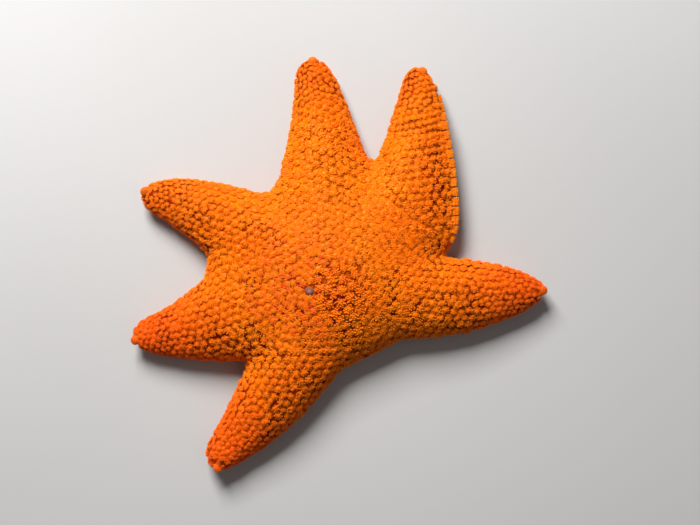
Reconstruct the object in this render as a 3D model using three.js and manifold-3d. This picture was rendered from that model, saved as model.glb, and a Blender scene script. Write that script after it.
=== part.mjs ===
// A six-armed starfish, about 100 mm across, in the pose of a living animal that grips the ground.
// The outline is the reach of six arms and of the webs between them. Over that outline stand two
// height functions, one for the upper side and one for the underside, and the body is the closed
// mesh between them. Thin cuts part it into the disc and the arms.

import * as THREE from 'three';
import { mergeVertices } from 'three/addons/utils/BufferGeometryUtils.js';
import Module from 'manifold-3d';

const wasm = await Module();
wasm.setup();
const { clamp, degToRad, euclideanModulo, lerp, radToDeg, smoothstep } = THREE.MathUtils;

// ---- Driving dimensions, in millimetres and degrees ---------------------------------------------

// The middle of the disc, seen from the middle of the animal's outline, which is the frame's origin.
const DISC_MIDDLE = new THREE.Vector2(-2.3, -2.1);

// The arms, counterclockwise. An arm's midline leaves the middle of the disc towards heading, ends
// at reach and swings to its left by bow on the way. left and right are the half widths at the
// STATIONS, which are shares of the reach, and cap is the length of the rounded tip.
const STATIONS = [0.4, 0.55, 0.7, 0.88];
const ARMS = [
  { heading: 94.8, reach: 52.3, bow: -0.9, cap: 6.7,
    left: [12.6, 10.0, 7.6, 5.6], right: [12.6, 10.2, 8.1, 5.6] },
  { heading: 156.5, reach: 49.7, bow: -1.6, cap: 6.4,
    left: [11.5, 9.6, 7.4, 5.2], right: [9.9, 9.0, 7.9, 5.5] },
  { heading: 199.0, reach: 50.4, bow: 1.6, cap: 6.6,
    left: [13.2, 11.4, 9.2, 5.6], right: [12.8, 10.8, 8.0, 5.4] },
  { heading: 240.0, reach: 54.8, bow: 1.6, cap: 6.0,
    left: [12.2, 10.7, 8.7, 4.9], right: [8.4, 7.8, 7.0, 6.0] },
  { heading: 355.4, reach: 52.3, bow: -1.8, cap: 7.2,
    left: [8.6, 8.0, 7.4, 5.2], right: [12.8, 11.5, 9.5, 6.0] },
  { heading: 426.0, reach: 54.5, bow: -8.6, cap: 5.8,
    left: [11.2, 9.8, 8.9, 6.6], right: [15.9, 11.7, 8.1, 5.0] },
];
const WIDTH_FROM = 0.38;       // the half widths stay the same nearer the disc than this share
const WIDTH_TO = 0.95;         // and nearer the tip than this
const WIDTH_EASE = 0.03;
const CAP_POWER = 2.4;
const SIDE_BLEND = 0.6;        // share of the half width over which left passes into right

// The webs: web i joins arm i and the next one, with its axil at this angle and this far out.
const WEBS = [
  { angle: 128, reach: 24.6 }, { angle: 173, reach: 29.9 }, { angle: 226, reach: 28.6 },
  { angle: 294, reach: 22.6 }, { angle: 369.5, reach: 26.4 }, { angle: 429, reach: 27.4 },
];
const AXIL_ROUNDING = 0.8;     // how softly arms and webs run together in plan

const MARGIN_HEIGHT = 2.3;     // height of the widest line
const DISC_RISE = 12.3;        // rise of the disc's dome above that line
const ARM_RISE = { root: 10.9, tip: 3.4, bend: 1.8 };
const BACK_ROUNDING = 17;      // how softly the squared rises of arms and disc run together
const MARGIN_ZONE = 2;         // depth within which the rise follows the margin alone
const SLOPE_ROUNDING = 1.5;
const SWELL = { share: 0.025, alongX: 6.5, alongY: 7.5, turnX: 1, turnY: -0.6 };

const TIP_LIFT = { height: 1.1, from: 0.87 };   // the tips curl off the floor
const CURL = 2.2;              // depth at which the underside reaches its floor level
const CURL_COLUMNS = [{ at: 1, limit: 0.75 }, { at: 0.5, limit: 0.3 }];   // mesh lines along the curl
const UNDER_ARCH = 0.5;        // lift of the underside between the resting bands
const BAND = { width: 2.7, inset: 0.2, fade: 2.0, from: 0.1 };   // resting band beside each groove
const GROOVE = { half: 1.7, roof: 1.2, depth: 2.4, fadeFrom: 0.84, fadeTo: 0.95,
  shareLimits: [0.2, 0.34, 0.58] };
const MOUTH = { radius: 4.0, roof: 3.2, depth: 3.2 };   // the roof is level out to roof

// The right side of the last arm slopes down to a thin flange, which stands off the floor and turns
// up at its edge, with a shallow furrow inside the edge.
const FLANGE_ARM = 5;
const FLANGE = { from: 0.26, full: 0.4, fade: 0.8, to: 0.95, sideFrom: 1, sideFull: 5, lift: 3.2,
  edgeTop: 0.9, edgeBottom: 1.1, furrow: 0.7, furrowAt: 2.6, furrowWidth: 1.2,
  slopeShare: 0.95, slopePower: 1.7, under: 0.55, leadFrom: -0.5, leadFull: 1.5 };

const GAP = 0.3;               // clearance between neighbouring solids
const DISC_SHARE = 0.78;       // the disc's cut, as a share of the way out to the axils
const DISC_CUT_SIDES = 36;
const FAR = 90;                // a distance beyond every tip
const SECTOR_POINT = 1;        // a sector's prism starts this far out from the middle of the disc
const SECTOR_PEAK = 1.6;       // and ends this share of FAR out, along its arm

const FOOT = { radius: 0.42, side: 0.75, pitch: 4, from: 7, sunk: 0.4, floorGap: 0.25, sides: 6 };
const MADREPORITE = { angle: 225, distance: 6.5, along: 1.2, across: 1.0, thick: 0.6, sunk: 0.25 };
const TERMINAL = { along: 1.1, across: 1.2, thick: 0.8, inset: 1.0, above: 1.6 };
const JAWS = { outer: 3.4, tooth: 1.3, gap: 2.5, notches: [0.3, 0.7], thick: 1.1, bottom: 0.7 };

// Rows and columns of the body's mesh.
const INNER_ROWS = 6;          // from the middle of the disc to the axils
const OUTER_ROWS = 12;         // from the axils to the tip
const TOP_COLUMNS = 5;         // on each side of the midline
const TIP_SEARCH = { from: 0.9, length: 0.2 };   // the tips' share of the reach lies in this span
const AXIL_SEARCH = 40;        // the axils lie nearer than this to the middle of the disc
const MARGIN_STEP = 0.5;       // the margin is looked for in steps of this length
const HALVINGS = 40;           // and then by halving the last step this many times
const ELLIPSOID = { around: 8, down: 6 };
const WELL_SIDES = { madreporite: 16, mouth: 36 };

// ---- Plan ---------------------------------------------------------------------------------------

/** The cubic that takes these values at the STATIONS. */
function throughStations(values, s) {
  return values.reduce((sum, value, i) => sum + value * STATIONS.reduce(
    (weight, station, j) => (j === i ? weight : weight * (s - station) / (STATIONS[i] - station)), 1), 0);
}

/** A smooth maximum. */
function softMax(values, softness) {
  const top = Math.max(...values);
  return top + softness * Math.log(values.reduce((sum, v) => sum + Math.exp((v - top) / softness), 0));
}

/** A share held softly between WIDTH_FROM and WIDTH_TO. */
function heldShare(s) {
  return -softMax([-WIDTH_TO, -softMax([WIDTH_FROM, s], WIDTH_EASE)], WIDTH_EASE);
}

function midlineSwing(arm, s) {
  const t = clamp(s, 0, 1);
  return 4 * arm.bow * t * (1 - t);
}

/** The point at share s of the arm's reach and distance d to the left of its midline. */
function onArm(arm, s, d) {
  return new THREE.Vector2(s * arm.reach, midlineSwing(arm, s) + d)
    .rotateAround(new THREE.Vector2(), degToRad(arm.heading));
}

/**
 * Where a point lies on an arm: s and d as above, the half width there, and the fullness, which is
 * 1 on the midline, 0 on the arm's margin and less outside it.
 */
function placeOnArm(arm, x, y) {
  const local = new THREE.Vector2(x, y).rotateAround(new THREE.Vector2(), -degToRad(arm.heading));
  const s = local.x / arm.reach;
  const d = local.y - midlineSwing(arm, s);
  const left = throughStations(arm.left, heldShare(s));
  const right = throughStations(arm.right, heldShare(s));
  const blend = SIDE_BLEND * Math.min(left, right);
  const half = lerp(right, left, smoothstep(d, -blend, blend));
  const past = s < 0 ? -local.x / half : Math.max(0, (local.x - arm.reach + arm.cap) / arm.cap);
  const fullness = 1 - (d / half) ** 2 - past ** CAP_POWER;
  const rise = lerp(ARM_RISE.root, ARM_RISE.tip, Math.max(s, 0) ** ARM_RISE.bend);
  return { s, d, half, fullness, rise };
}

/** How far out the webs reach at an angle: an eased run from each axil to the next. */
function webReach(angle) {
  const first = WEBS[0].angle;
  const turned = first + euclideanModulo(angle - first, 360);
  const i = WEBS.findLastIndex((web) => web.angle <= turned);
  const next = i + 1 < WEBS.length ? WEBS[i + 1] : { angle: first + 360, reach: WEBS[0].reach };
  return lerp(WEBS[i].reach, next.reach, smoothstep(turned, WEBS[i].angle, next.angle));
}

/**
 * Everything about a point of the plan that the heights need. Its depth is about the distance inside
 * the outline near the margin, and grows more slowly than that further in.
 */
function survey(x, y) {
  const radius = Math.hypot(x, y);
  const arms = ARMS.map((arm) => placeOnArm(arm, x, y));
  const reach = webReach(radToDeg(Math.atan2(y, x)));
  const disc = { half: reach, fullness: 1 - (radius / reach) ** 2, rise: DISC_RISE };
  const lobes = [...arms, disc];
  const depths = lobes.map((lobe) => lobe.fullness * lobe.half / 2);
  const depth = softMax(depths, AXIL_ROUNDING);

  const deepest = Math.max(...depths);
  const weights = depths.map((value) => Math.exp((value - deepest) / SLOPE_ROUNDING));
  const slope = lobes.reduce((sum, { rise, half }, i) => sum + weights[i] * 2 * rise ** 2 / half, 0)
    / weights.reduce((sum, weight) => sum + weight, 0);
  const square = softMax(lobes.map(({ rise, fullness }) => rise ** 2 * fullness), BACK_ROUNDING);
  const back = Math.sqrt(Math.max(0, lerp(slope * depth, square, smoothstep(depth, 0, MARGIN_ZONE))));

  const nearest = arms.reduce((best, arm, i) => (depths[i] > depths[best] ? i : best), 0);
  const edge = arms[FLANGE_ARM];
  const others = Math.max(...depths.slice(0, FLANGE_ARM));
  const flange = smoothstep(edge.s, FLANGE.from, FLANGE.full)
    * (1 - smoothstep(edge.s, FLANGE.fade, FLANGE.to))
    * smoothstep(-edge.d, FLANGE.sideFrom, FLANGE.sideFull)
    * smoothstep(depths[FLANGE_ARM] - others, FLANGE.leadFrom, FLANGE.leadFull);
  return { x, y, radius, arms, depth, back, edge, flange, share: arms[nearest].s };
}

// ---- Heights ------------------------------------------------------------------------------------

/** A quarter circle's rise from 0 at t = 0 to 1 at t = 1. */
function quarter(t) {
  return Math.sqrt(1 - (1 - clamp(t, 0, 1)) ** 2);
}

function tipLift({ share }) {
  return TIP_LIFT.height * smoothstep(share, TIP_LIFT.from, 1);
}

function marginHeight(point) {
  return MARGIN_HEIGHT + tipLift(point) + FLANGE.lift * point.flange;
}

function topHeight(point) {
  const { x, y, back, flange, edge } = point;
  const low = MARGIN_HEIGHT + tipLift(point);
  const swell = SWELL.share * Math.sin(x / SWELL.alongX + SWELL.turnX)
    * Math.cos(y / SWELL.alongY + SWELL.turnY);
  const rounded = low + back * (1 + swell);
  const inset = edge.half - Math.abs(edge.d);
  const furrow = FLANGE.furrow * Math.exp(-(((inset - FLANGE.furrowAt) / FLANGE.furrowWidth) ** 2));
  const lip = low + FLANGE.lift + (FLANGE.edgeTop - furrow) * quarter(inset);
  const up = 1 - (1 - clamp(inset / (FLANGE.slopeShare * edge.half), 0, 1)) ** FLANGE.slopePower;
  const sloping = lip + (edge.rise - FLANGE.lift - FLANGE.edgeTop) * up;
  return lerp(rounded, sloping, flange);
}

/** The underside: resting bands at z = 0 beside the grooves, and a low arch between them. */
function bottomHeight(point) {
  const { depth, flange, edge, arms, radius } = point;
  const margin = marginHeight(point);
  const bands = arms.map(({ s, d }) => (s > BAND.from ? 1 : 0) * smoothstep(Math.abs(d), 0, GROOVE.half)
    * (1 - smoothstep(Math.abs(d), GROOVE.half + BAND.width, GROOVE.half + BAND.width + BAND.fade)));
  const floor = UNDER_ARCH * (1 - Math.max(...bands)) + tipLift(point);
  const curled = lerp(margin, floor, quarter(depth / CURL));
  const lipBottom = margin - FLANGE.edgeBottom * quarter(depth);
  const lifted = lerp(lipBottom, floor, smoothstep(depth, 0, FLANGE.under * edge.half));
  const grooves = arms.map(({ s, d }) => (s < 0 ? 0 : GROOVE.depth
    * Math.sqrt(Math.max(0, 1 - (d / GROOVE.half) ** 2))
    * (1 - smoothstep(s, GROOVE.fadeFrom, GROOVE.fadeTo))));
  const mouth = MOUTH.depth * (1 - smoothstep(radius, MOUTH.roof, MOUTH.radius));
  return lerp(curled, lifted, flange) + Math.max(...grooves, mouth);
}

// ---- The body's mesh ----------------------------------------------------------------------------

/** Where inside turns into outside between t = 0 and t = far, for a point that moves with t. */
function crossing(pointAt, far) {
  let inside = 0;
  let outside = far;
  for (let step = 0; step < HALVINGS; step += 1) {
    const middle = (inside + outside) / 2;
    const { x, y } = pointAt(middle);
    if (survey(x, y).depth > 0) inside = middle;
    else outside = middle;
  }
  return inside;
}

function onRay(angle, radius) {
  return new THREE.Vector2(radius, 0).rotateAround(new THREE.Vector2(), degToRad(angle));
}

const axils = WEBS.map((web) => onRay(web.angle, crossing((r) => onRay(web.angle, r), AXIL_SEARCH)));

/** The free margin of an arm at share s, on its left (side 1) or right (side -1). */
function marginPoint(arm, s, side) {
  let reached = 0;
  const at = (aside) => onArm(arm, s, side * aside);
  while (survey(...at(reached + MARGIN_STEP).toArray()).depth > 0) reached += MARGIN_STEP;
  return at(reached + crossing((t) => at(reached + t), MARGIN_STEP));
}

/** The rows of an arm's sector: midline, left and right points, and whether the sides are free. */
function sectorRows(index) {
  const arm = ARMS[index];
  const axil = { 1: axils[index], [-1]: axils.at(index - 1) };
  const share = (point) => placeOnArm(arm, point.x, point.y).s;
  const start = (share(axil[1]) + share(axil[-1])) / 2;
  const end = tipShare(arm);
  const rows = [];
  for (let i = 1; i <= INNER_ROWS; i += 1) {
    const t = i / INNER_ROWS;
    rows.push({ free: i === INNER_ROWS, middle: onArm(arm, start * t, 0),
      left: axil[1].clone().multiplyScalar(t), right: axil[-1].clone().multiplyScalar(t) });
  }
  for (let i = 1; i < OUTER_ROWS; i += 1) {
    const t = Math.sin(i / OUTER_ROWS * Math.PI / 2);
    const at = (from) => lerp(from, end, t);
    rows.push({ free: true, middle: onArm(arm, at(start), 0),
      left: marginPoint(arm, at(share(axil[1])), 1), right: marginPoint(arm, at(share(axil[-1])), -1) });
  }
  return { rows, tip: onArm(arm, end, 0) };
}

/** Shares of the way from the midline to the side: even turns of the flank above, and below the
    groove's roof and edge, the resting band, and the curl of the underside where the side is free. */
function topShares() {
  return Array.from({ length: TOP_COLUMNS }, (_, i) => Math.sin((i + 1) / TOP_COLUMNS * Math.PI / 2));
}

function bottomShares(width, free) {
  const inner = [GROOVE.roof, GROOVE.half + BAND.inset, GROOVE.half + BAND.width - BAND.inset]
    .map((aside, i) => Math.min(aside / width, GROOVE.shareLimits[i]));
  const rest = 1 - inner.at(-1);
  const outer = free ? CURL_COLUMNS.map(({ at, limit }) => 1 - Math.min(at * CURL / width, limit * rest))
    : [1 - rest * 2 / 3, 1 - rest / 3];
  return [...inner, ...outer, 1];
}

function bodyGeometry() {
  const corners = [];
  const vertex = ({ x, y }, height, onMargin) => {
    const point = survey(x, y);
    return [x, y, onMargin ? marginHeight(point) : height(point)];
  };
  const triangle = (a, b, c, flip) => corners.push(...a, ...(flip ? [...c, ...b] : [...b, ...c]));
  const surface = (height, sharesFor, flip) => {
    for (let index = 0; index < ARMS.length; index += 1) {
      const { rows, tip } = sectorRows(index);
      const lines = rows.map(({ middle, left, right, free }) => {
        const points = (side) => sharesFor(Math.abs(placeOnArm(ARMS[index], side.x, side.y).d), free)
          .map((share) => (share === 1 ? vertex(side, height, free)
            : vertex(middle.clone().lerp(side, share), height, false)));
        return [...points(right).reverse(), vertex(middle, height, false), ...points(left)];
      });
      const centre = vertex(new THREE.Vector2(), height, false);
      const end = vertex(tip, height, true);
      for (let i = 0; i + 1 < lines[0].length; i += 1) {
        triangle(centre, lines[0][i], lines[0][i + 1], flip);
        for (let row = 0; row + 1 < lines.length; row += 1) {
          const [near, far] = [lines[row], lines[row + 1]];
          triangle(near[i], far[i], far[i + 1], flip);
          triangle(near[i], far[i + 1], near[i + 1], flip);
        }
        triangle(lines.at(-1)[i], end, lines.at(-1)[i + 1], flip);
      }
    }
  };
  surface(topHeight, topShares, false);
  surface(bottomHeight, bottomShares, true);
  const geometry = new THREE.BufferGeometry();
  geometry.setAttribute('position', new THREE.Float32BufferAttribute(corners, 3));
  return geometry;
}

// ---- Solids -------------------------------------------------------------------------------------

function toSolid(geometry) {
  const bare = geometry.clone();
  bare.deleteAttribute('normal');
  bare.deleteAttribute('uv');
  const merged = mergeVertices(bare.index ? bare.toNonIndexed() : bare, 1e-4);
  return new wasm.Manifold(new wasm.Mesh({
    numProp: 3,
    vertProperties: new Float32Array(merged.attributes.position.array),
    triVerts: new Uint32Array(merged.index.array),
  }));
}

function toGeometry(solid) {
  const mesh = solid.getMesh();
  const geometry = new THREE.BufferGeometry();
  geometry.setAttribute('position', new THREE.Float32BufferAttribute(mesh.vertProperties, 3));
  geometry.setIndex([...mesh.triVerts]);
  geometry.computeVertexNormals();
  return geometry;
}

/** An upright prism over a closed outline, tall enough to cut the whole body. */
function prism(outline) {
  const depth = 4 * DISC_RISE;
  const geometry = new THREE.ExtrudeGeometry(new THREE.Shape(outline), { depth, bevelEnabled: false });
  return toSolid(geometry.translate(0, 0, -depth / 2));
}

/** The disc's cut line, moved outwards by grow. */
function discOutline(grow) {
  return Array.from({ length: DISC_CUT_SIDES }, (_, i) => {
    const angle = i * 360 / DISC_CUT_SIDES;
    return onRay(angle, DISC_SHARE * webReach(angle) + grow);
  });
}

/** The sector of an arm: out along each web's ray, then half way between the neighbouring arms. */
function sectorPrism(index) {
  const edge = (webIndex, side) => {
    const web = WEBS.at(webIndex);
    const next = ARMS[(WEBS.indexOf(web) + 1) % ARMS.length];
    const turn = euclideanModulo(next.heading - ARMS.at(webIndex).heading, 360);
    const between = ARMS.at(webIndex).heading + turn / 2;
    const aside = onRay(web.angle + 90 * side, GAP / 2);
    return [axils.at(webIndex), onRay(between, FAR)].map((point) => point.clone().add(aside));
  };
  const { heading } = ARMS[index];
  return prism([onRay(heading, SECTOR_POINT), ...edge(index - 1, 1), onRay(heading, SECTOR_PEAK * FAR),
    ...edge(index, -1).reverse()]);
}

function ellipsoid({ along, across, thick }, grow, heading, at) {
  return new THREE.SphereGeometry(1, ELLIPSOID.around, ELLIPSOID.down).rotateX(Math.PI / 2)
    .scale(along + grow, across + grow, thick + grow)
    .rotateZ(degToRad(heading)).translate(at.x, at.y, at.z);
}

/** The tube feet of one arm: two rows of stubs from the groove's roof to just above the floor. */
function tubeFeet(arm) {
  const feet = [];
  for (let along = FOOT.from; along / arm.reach < GROOVE.fadeFrom; along += FOOT.pitch) {
    for (const side of [-1, 1]) {
      const spot = onArm(arm, along / arm.reach, side * FOOT.side);
      const root = bottomHeight(survey(spot.x, spot.y)) + FOOT.sunk;
      const length = root - FOOT.floorGap;
      feet.push(new THREE.CylinderGeometry(FOOT.radius, FOOT.radius, length, FOOT.sides)
        .rotateX(Math.PI / 2).translate(spot.x, spot.y, FOOT.floorGap + length / 2));
    }
  }
  return feet.map(toSolid);
}

const madreporiteSpot = (() => {
  const { x, y } = onRay(MADREPORITE.angle, MADREPORITE.distance);
  return new THREE.Vector3(x, y, topHeight(survey(x, y)) - MADREPORITE.sunk - MADREPORITE.thick);
})();

/** The well that the madreporite lies in, open upwards. */
function madreporiteWell() {
  const height = 3 * MADREPORITE.thick + GAP;
  const { x, y, z } = madreporiteSpot;
  return toSolid(new THREE.CylinderGeometry(1, 1, height, WELL_SIDES.madreporite).rotateX(Math.PI / 2)
    .scale(MADREPORITE.along + GAP, MADREPORITE.across + GAP, 1)
    .rotateZ(degToRad(MADREPORITE.angle + 90))
    .translate(x, y, z - MADREPORITE.thick - GAP + height / 2));
}

/** The round well under the disc that the jaws lie in, open downwards. */
function mouthWell() {
  const top = JAWS.bottom + JAWS.thick + GAP;
  const radius = JAWS.outer + GAP;
  return toSolid(new THREE.CylinderGeometry(radius, radius, 2 * top, WELL_SIDES.mouth)
    .rotateX(Math.PI / 2));
}

/** The jaws: a flat ring round the mouth with one tooth towards the middle on each web's ray. */
function jawsGeometry() {
  const ring = new THREE.Shape().absarc(0, 0, JAWS.outer, 0, 2 * Math.PI);
  const hole = WEBS.flatMap((web, i) => {
    const next = i + 1 < WEBS.length ? WEBS[i + 1].angle : WEBS[0].angle + 360;
    return [onRay(web.angle, JAWS.tooth),
      ...JAWS.notches.map((share) => onRay(lerp(web.angle, next, share), JAWS.gap))];
  });
  ring.holes.push(new THREE.Path(hole.reverse()));
  return new THREE.ExtrudeGeometry(ring, { depth: JAWS.thick, bevelEnabled: false, curveSegments: 12 })
    .translate(0, 0, JAWS.bottom);
}

/** Where an arm's midline meets the outline, as a share of its reach. */
function tipShare(arm) {
  return TIP_SEARCH.from + crossing((t) => onArm(arm, TIP_SEARCH.from + t, 0), TIP_SEARCH.length);
}

function terminalSpot(arm) {
  const { x, y } = onArm(arm, tipShare(arm) - TERMINAL.inset / arm.reach, 0);
  return new THREE.Vector3(x, y, MARGIN_HEIGHT + TIP_LIFT.height + TERMINAL.above);
}

// ---- Assembly -----------------------------------------------------------------------------------

const skin = new THREE.MeshStandardMaterial({ color: 0xf57a12, roughness: 0.6, metalness: 0 });
const skinDeep = new THREE.MeshStandardMaterial({ color: 0xe0600e, roughness: 0.65, metalness: 0 });
const sieve = new THREE.MeshStandardMaterial({ color: 0x8c6a78, roughness: 0.8, metalness: 0 });
const plate = new THREE.MeshStandardMaterial({ color: 0xff9a4a, roughness: 0.5, metalness: 0 });

function named(name, geometry, material) {
  const mesh = new THREE.Mesh(geometry, material);
  mesh.name = name;
  return mesh;
}

const starfish = new THREE.Group();
const body = toSolid(bodyGeometry());
const disc = body.intersect(prism(discOutline(0))).subtract(madreporiteWell()).subtract(mouthWell());
starfish.add(named('disc', toGeometry(disc), skinDeep));
starfish.add(named('madreporite',
  ellipsoid(MADREPORITE, 0, MADREPORITE.angle + 90, madreporiteSpot), sieve));
starfish.add(named('jaws', jawsGeometry(), plate));

const outsideDisc = body.subtract(prism(discOutline(GAP)));
ARMS.forEach((arm, index) => {
  const number = index + 1;
  const tipSpot = terminalSpot(arm);
  const pocket = toSolid(ellipsoid(TERMINAL, GAP, arm.heading, tipSpot));
  let limb = outsideDisc.intersect(sectorPrism(index)).subtract(pocket);
  const reachOfDisc = DISC_SHARE * webReach(arm.heading) + 2 * FOOT.radius;
  for (const foot of tubeFeet(arm)) {
    const { min, max } = foot.boundingBox();
    const away = Math.hypot((min[0] + max[0]) / 2, (min[1] + max[1]) / 2);
    if (away > reachOfDisc) limb = limb.add(foot);
  }
  starfish.add(named(`arm_${number}`, toGeometry(limb), skin));
  starfish.add(named(`terminal_plate_${number}`, ellipsoid(TERMINAL, 0, arm.heading, tipSpot), plate));
});

starfish.position.set(DISC_MIDDLE.x, DISC_MIDDLE.y, 0);

export default starfish;
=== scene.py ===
"""A six-armed starfish, life size, at rest on a plain floor.

The body is the space between two height functions over one outline, and the outline is the reach of six
arms and of the webs between them. The skin is that body drawn in by the depth of the coat, and the coat
is made of beads, each a low dome that carries a tuft of short spinelets.
"""
import functools
import math

import bpy
import numpy as np
from bpy.props import FloatProperty, FloatVectorProperty, IntProperty, PointerProperty
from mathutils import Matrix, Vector


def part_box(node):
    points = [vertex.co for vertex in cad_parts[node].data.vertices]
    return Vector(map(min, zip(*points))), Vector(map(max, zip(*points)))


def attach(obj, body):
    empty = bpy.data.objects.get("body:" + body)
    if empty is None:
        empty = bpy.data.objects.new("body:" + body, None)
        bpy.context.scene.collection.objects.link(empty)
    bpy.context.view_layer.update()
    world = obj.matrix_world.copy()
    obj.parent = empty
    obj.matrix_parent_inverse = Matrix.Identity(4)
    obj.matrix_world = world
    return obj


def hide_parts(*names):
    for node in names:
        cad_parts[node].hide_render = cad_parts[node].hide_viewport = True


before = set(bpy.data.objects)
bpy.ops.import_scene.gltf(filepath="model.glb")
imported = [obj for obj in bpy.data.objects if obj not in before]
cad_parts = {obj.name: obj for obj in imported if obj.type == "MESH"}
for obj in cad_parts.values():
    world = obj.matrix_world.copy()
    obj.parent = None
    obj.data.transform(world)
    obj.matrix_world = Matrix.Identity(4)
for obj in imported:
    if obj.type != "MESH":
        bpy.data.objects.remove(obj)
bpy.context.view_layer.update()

bl_info = {
    "name": "Starfish",
    "version": (1, 0, 0),
    "blender": (4, 5, 0),
    "location": "View3D > Sidebar > Starfish",
    "description": "Builds a six-armed starfish with its coat of beads around the packed frame",
    "category": "Add Mesh",
}

MM = 0.001

# ---- The body's driving dimensions, in millimetres and degrees, as in the frame's own part --------------

DISC_MIDDLE = np.array([-2.3, -2.1])
STATIONS = np.array([0.4, 0.55, 0.7, 0.88])
ARMS = [dict(heading=heading, reach=reach, bow=bow, cap=cap, left=left, right=right)
        for heading, reach, bow, cap, left, right in (
            (94.8, 52.3, -0.9, 6.7, [12.6, 10.0, 7.6, 5.6], [12.6, 10.2, 8.1, 5.6]),
            (156.5, 49.7, -1.6, 6.4, [11.5, 9.6, 7.4, 5.2], [9.9, 9.0, 7.9, 5.5]),
            (199.0, 50.4, 1.6, 6.6, [13.2, 11.4, 9.2, 5.6], [12.8, 10.8, 8.0, 5.4]),
            (240.0, 54.8, 1.6, 6.0, [12.2, 10.7, 8.7, 4.9], [8.4, 7.8, 7.0, 6.0]),
            (355.4, 52.3, -1.8, 7.2, [8.6, 8.0, 7.4, 5.2], [12.8, 11.5, 9.5, 6.0]),
            (426.0, 54.5, -8.6, 5.8, [11.2, 9.8, 8.9, 6.6], [15.9, 11.7, 8.1, 5.0]),
        )]
WIDTH_FROM, WIDTH_TO, WIDTH_EASE = 0.38, 0.95, 0.03
CAP_POWER = 2.4
SIDE_BLEND = 0.6
WEB_ANGLES = np.array([128, 173, 226, 294, 369.5, 429])
WEB_REACHES = np.array([24.6, 29.9, 28.6, 22.6, 26.4, 27.4])
AXIL_ROUNDING = 0.8
MARGIN_HEIGHT = 2.3
DISC_RISE = 12.3
ARM_RISE = dict(root=10.9, tip=3.4, bend=1.8)
BACK_ROUNDING = 17
MARGIN_ZONE = 2
SLOPE_ROUNDING = 1.5
SWELL = dict(share=0.025, along_x=6.5, along_y=7.5, turn_x=1, turn_y=-0.6)
TIP_LIFT = dict(height=1.1, start=0.87)
CURL = 2.2
UNDER_ARCH = 0.5
BAND = dict(width=2.7, fade=2.0, start=0.1)
GROOVE = dict(half=1.7, depth=2.4, fade_from=0.84, fade_to=0.95)
MOUTH = dict(radius=4.0, roof=3.2, depth=3.2)
FLANGE_ARM = 5
FLANGE = dict(start=0.26, full=0.4, fade=0.8, end=0.95, side_from=1, side_full=5, lift=3.2, edge_top=0.9,
              edge_bottom=1.1, furrow=0.7, furrow_at=2.6, furrow_width=1.2, slope_share=0.95,
              slope_power=1.7, under=0.55, lead_from=-0.5, lead_full=1.5)

# Columns and rows of the skin's grid, and how its points are found.
INNER_ROWS, OUTER_ROWS = 26, 64
COLUMNS = 28
UNDER_COLUMNS = (8, 6, 6, 8)      # groove, resting band, under surface and curl; they sum to COLUMNS
MOST_GROOVE, MOST_BAND, MOST_CURL = 0.34, 0.6, 0.75      # of a narrow arm's half width, and of what is left
TIP_FROM, TIP_LENGTH = 0.9, 0.2
AXIL_SEARCH = 40
MARGIN_STEP, MARGIN_REACH = 0.5, 24
HALVINGS = 40
GROOVE_HALF = GROOVE["half"] + 0.35      # the groove is wider each side in the skin, with room for the coat
UNWRAP_LEFT, UNWRAP_LOW = 0.02, 0.01     # margins of a sector's half on the unwrap

# The beads' layout: their pitch on the disc and at the tips, against that of the arms' middles.
DISC_FINENESS, TIP_FINENESS = 0.84, 0.64
DISC_EASE, TIP_EASE = (0.15, 0.45), (0.55, 1)
LAST_SHARE, PITCH_STEPS = 1.1, 221
SAMPLES = 15                      # places tried for each square millimetre of skin
ROW_GAP = math.sqrt(3) / 2        # from one row to the next, in pitches
LEAST_FILL, LEAST_GAP = 0.45, 0.62
ROOM = (0.55, 1.15)               # how small and how large a bead's neighbours can make it
BEAD_SPREAD = dict(size=0.07, least=0.86, most=1.14)
FLOOR_CLEARANCE = 0.02
DISC_SHARE = 0.36                 # the disc's own coat pieces end at this share of an arm's reach
DISC_EDGE_SPREAD = 0.05           # and its flatter beads end this unevenly round it
# Round SMOOTH the gaps also take less of the painted shade.
SMOOTH = dict(x=2, y=24, z=8, full=13, none=27, share=0.65, end=0.72)    # flatter beads and paler gaps here
SIEVE_CLEAR = dict(shift=0.35, radius=1.5)
UNDER_CLEAR = dict(groove=0.5, mouth=0.7, tip=0.04)
PATCH = 0.0015                    # half the width of a tuft's patch on the unwrap
SEED = 20

# Profiles of the small shapes as radius and height, and the sizes of what is made of them. A tuft's
# radius is in pitches, and its rings are numbers of spinelets with a share of the radius and a lean. Along
# the flange the coat stops short of the edge by EDGE_PLATE's above on the back and its below underneath.
MOUND = np.array([(0, -0.9), (0.72, -0.9), (0.97, -0.1), (0.88, 0.5), (0.55, 0.88), (0, 1.0)])
SPINELET = np.array([(0, -0.5), (0.86, -0.1), (1, 0.62), (0, 1.0)])
DOMED = dict(kinds=12, radius=0.50, height=0.46, thick=0.158, length=0.28,
             rings=[(1, 0.0, 0), (6, 0.38, 14), (13, 0.79, 38)])
FLATTER = dict(DOMED, radius=0.58, height=0.34, thick=0.180)
UNDER_TUFT = dict(kinds=8, radius=0.42, height=0.2, thick=0.12, length=0.36,
                  rings=[(2, 0.25, 8), (5, 0.72, 24)])
TUFT_SPREAD = dict(turn=0.17, out=0.10, tilt=0.2, length=0.16, shortest=-0.35, longest=0.25, oval=0.13)
DOME_TOP = 0.45                   # how far out a dome's top lies, where a spinelet's end is at 1
DOME_SIDES, SPINELET_SIDES = 8, 6
EDGE_PLATE = dict(wide=0.40, deep=1.20, thick=0.66, power=0.70, sides=(16, 8), rod=0.17, length=0.32,
                  rod_sides=5, sunk=0.02, start=0.3, end=0.93, above=1.75, below=0.8)
EDGE_STEPS, EDGE_FIRST, EDGE_AHEAD, EDGE_INSET = 240, 0.4, 0.3, 0.3
FRINGE_SPREAD = dict(feet=0.03, ways=0.14, rods=0.08)
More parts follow.
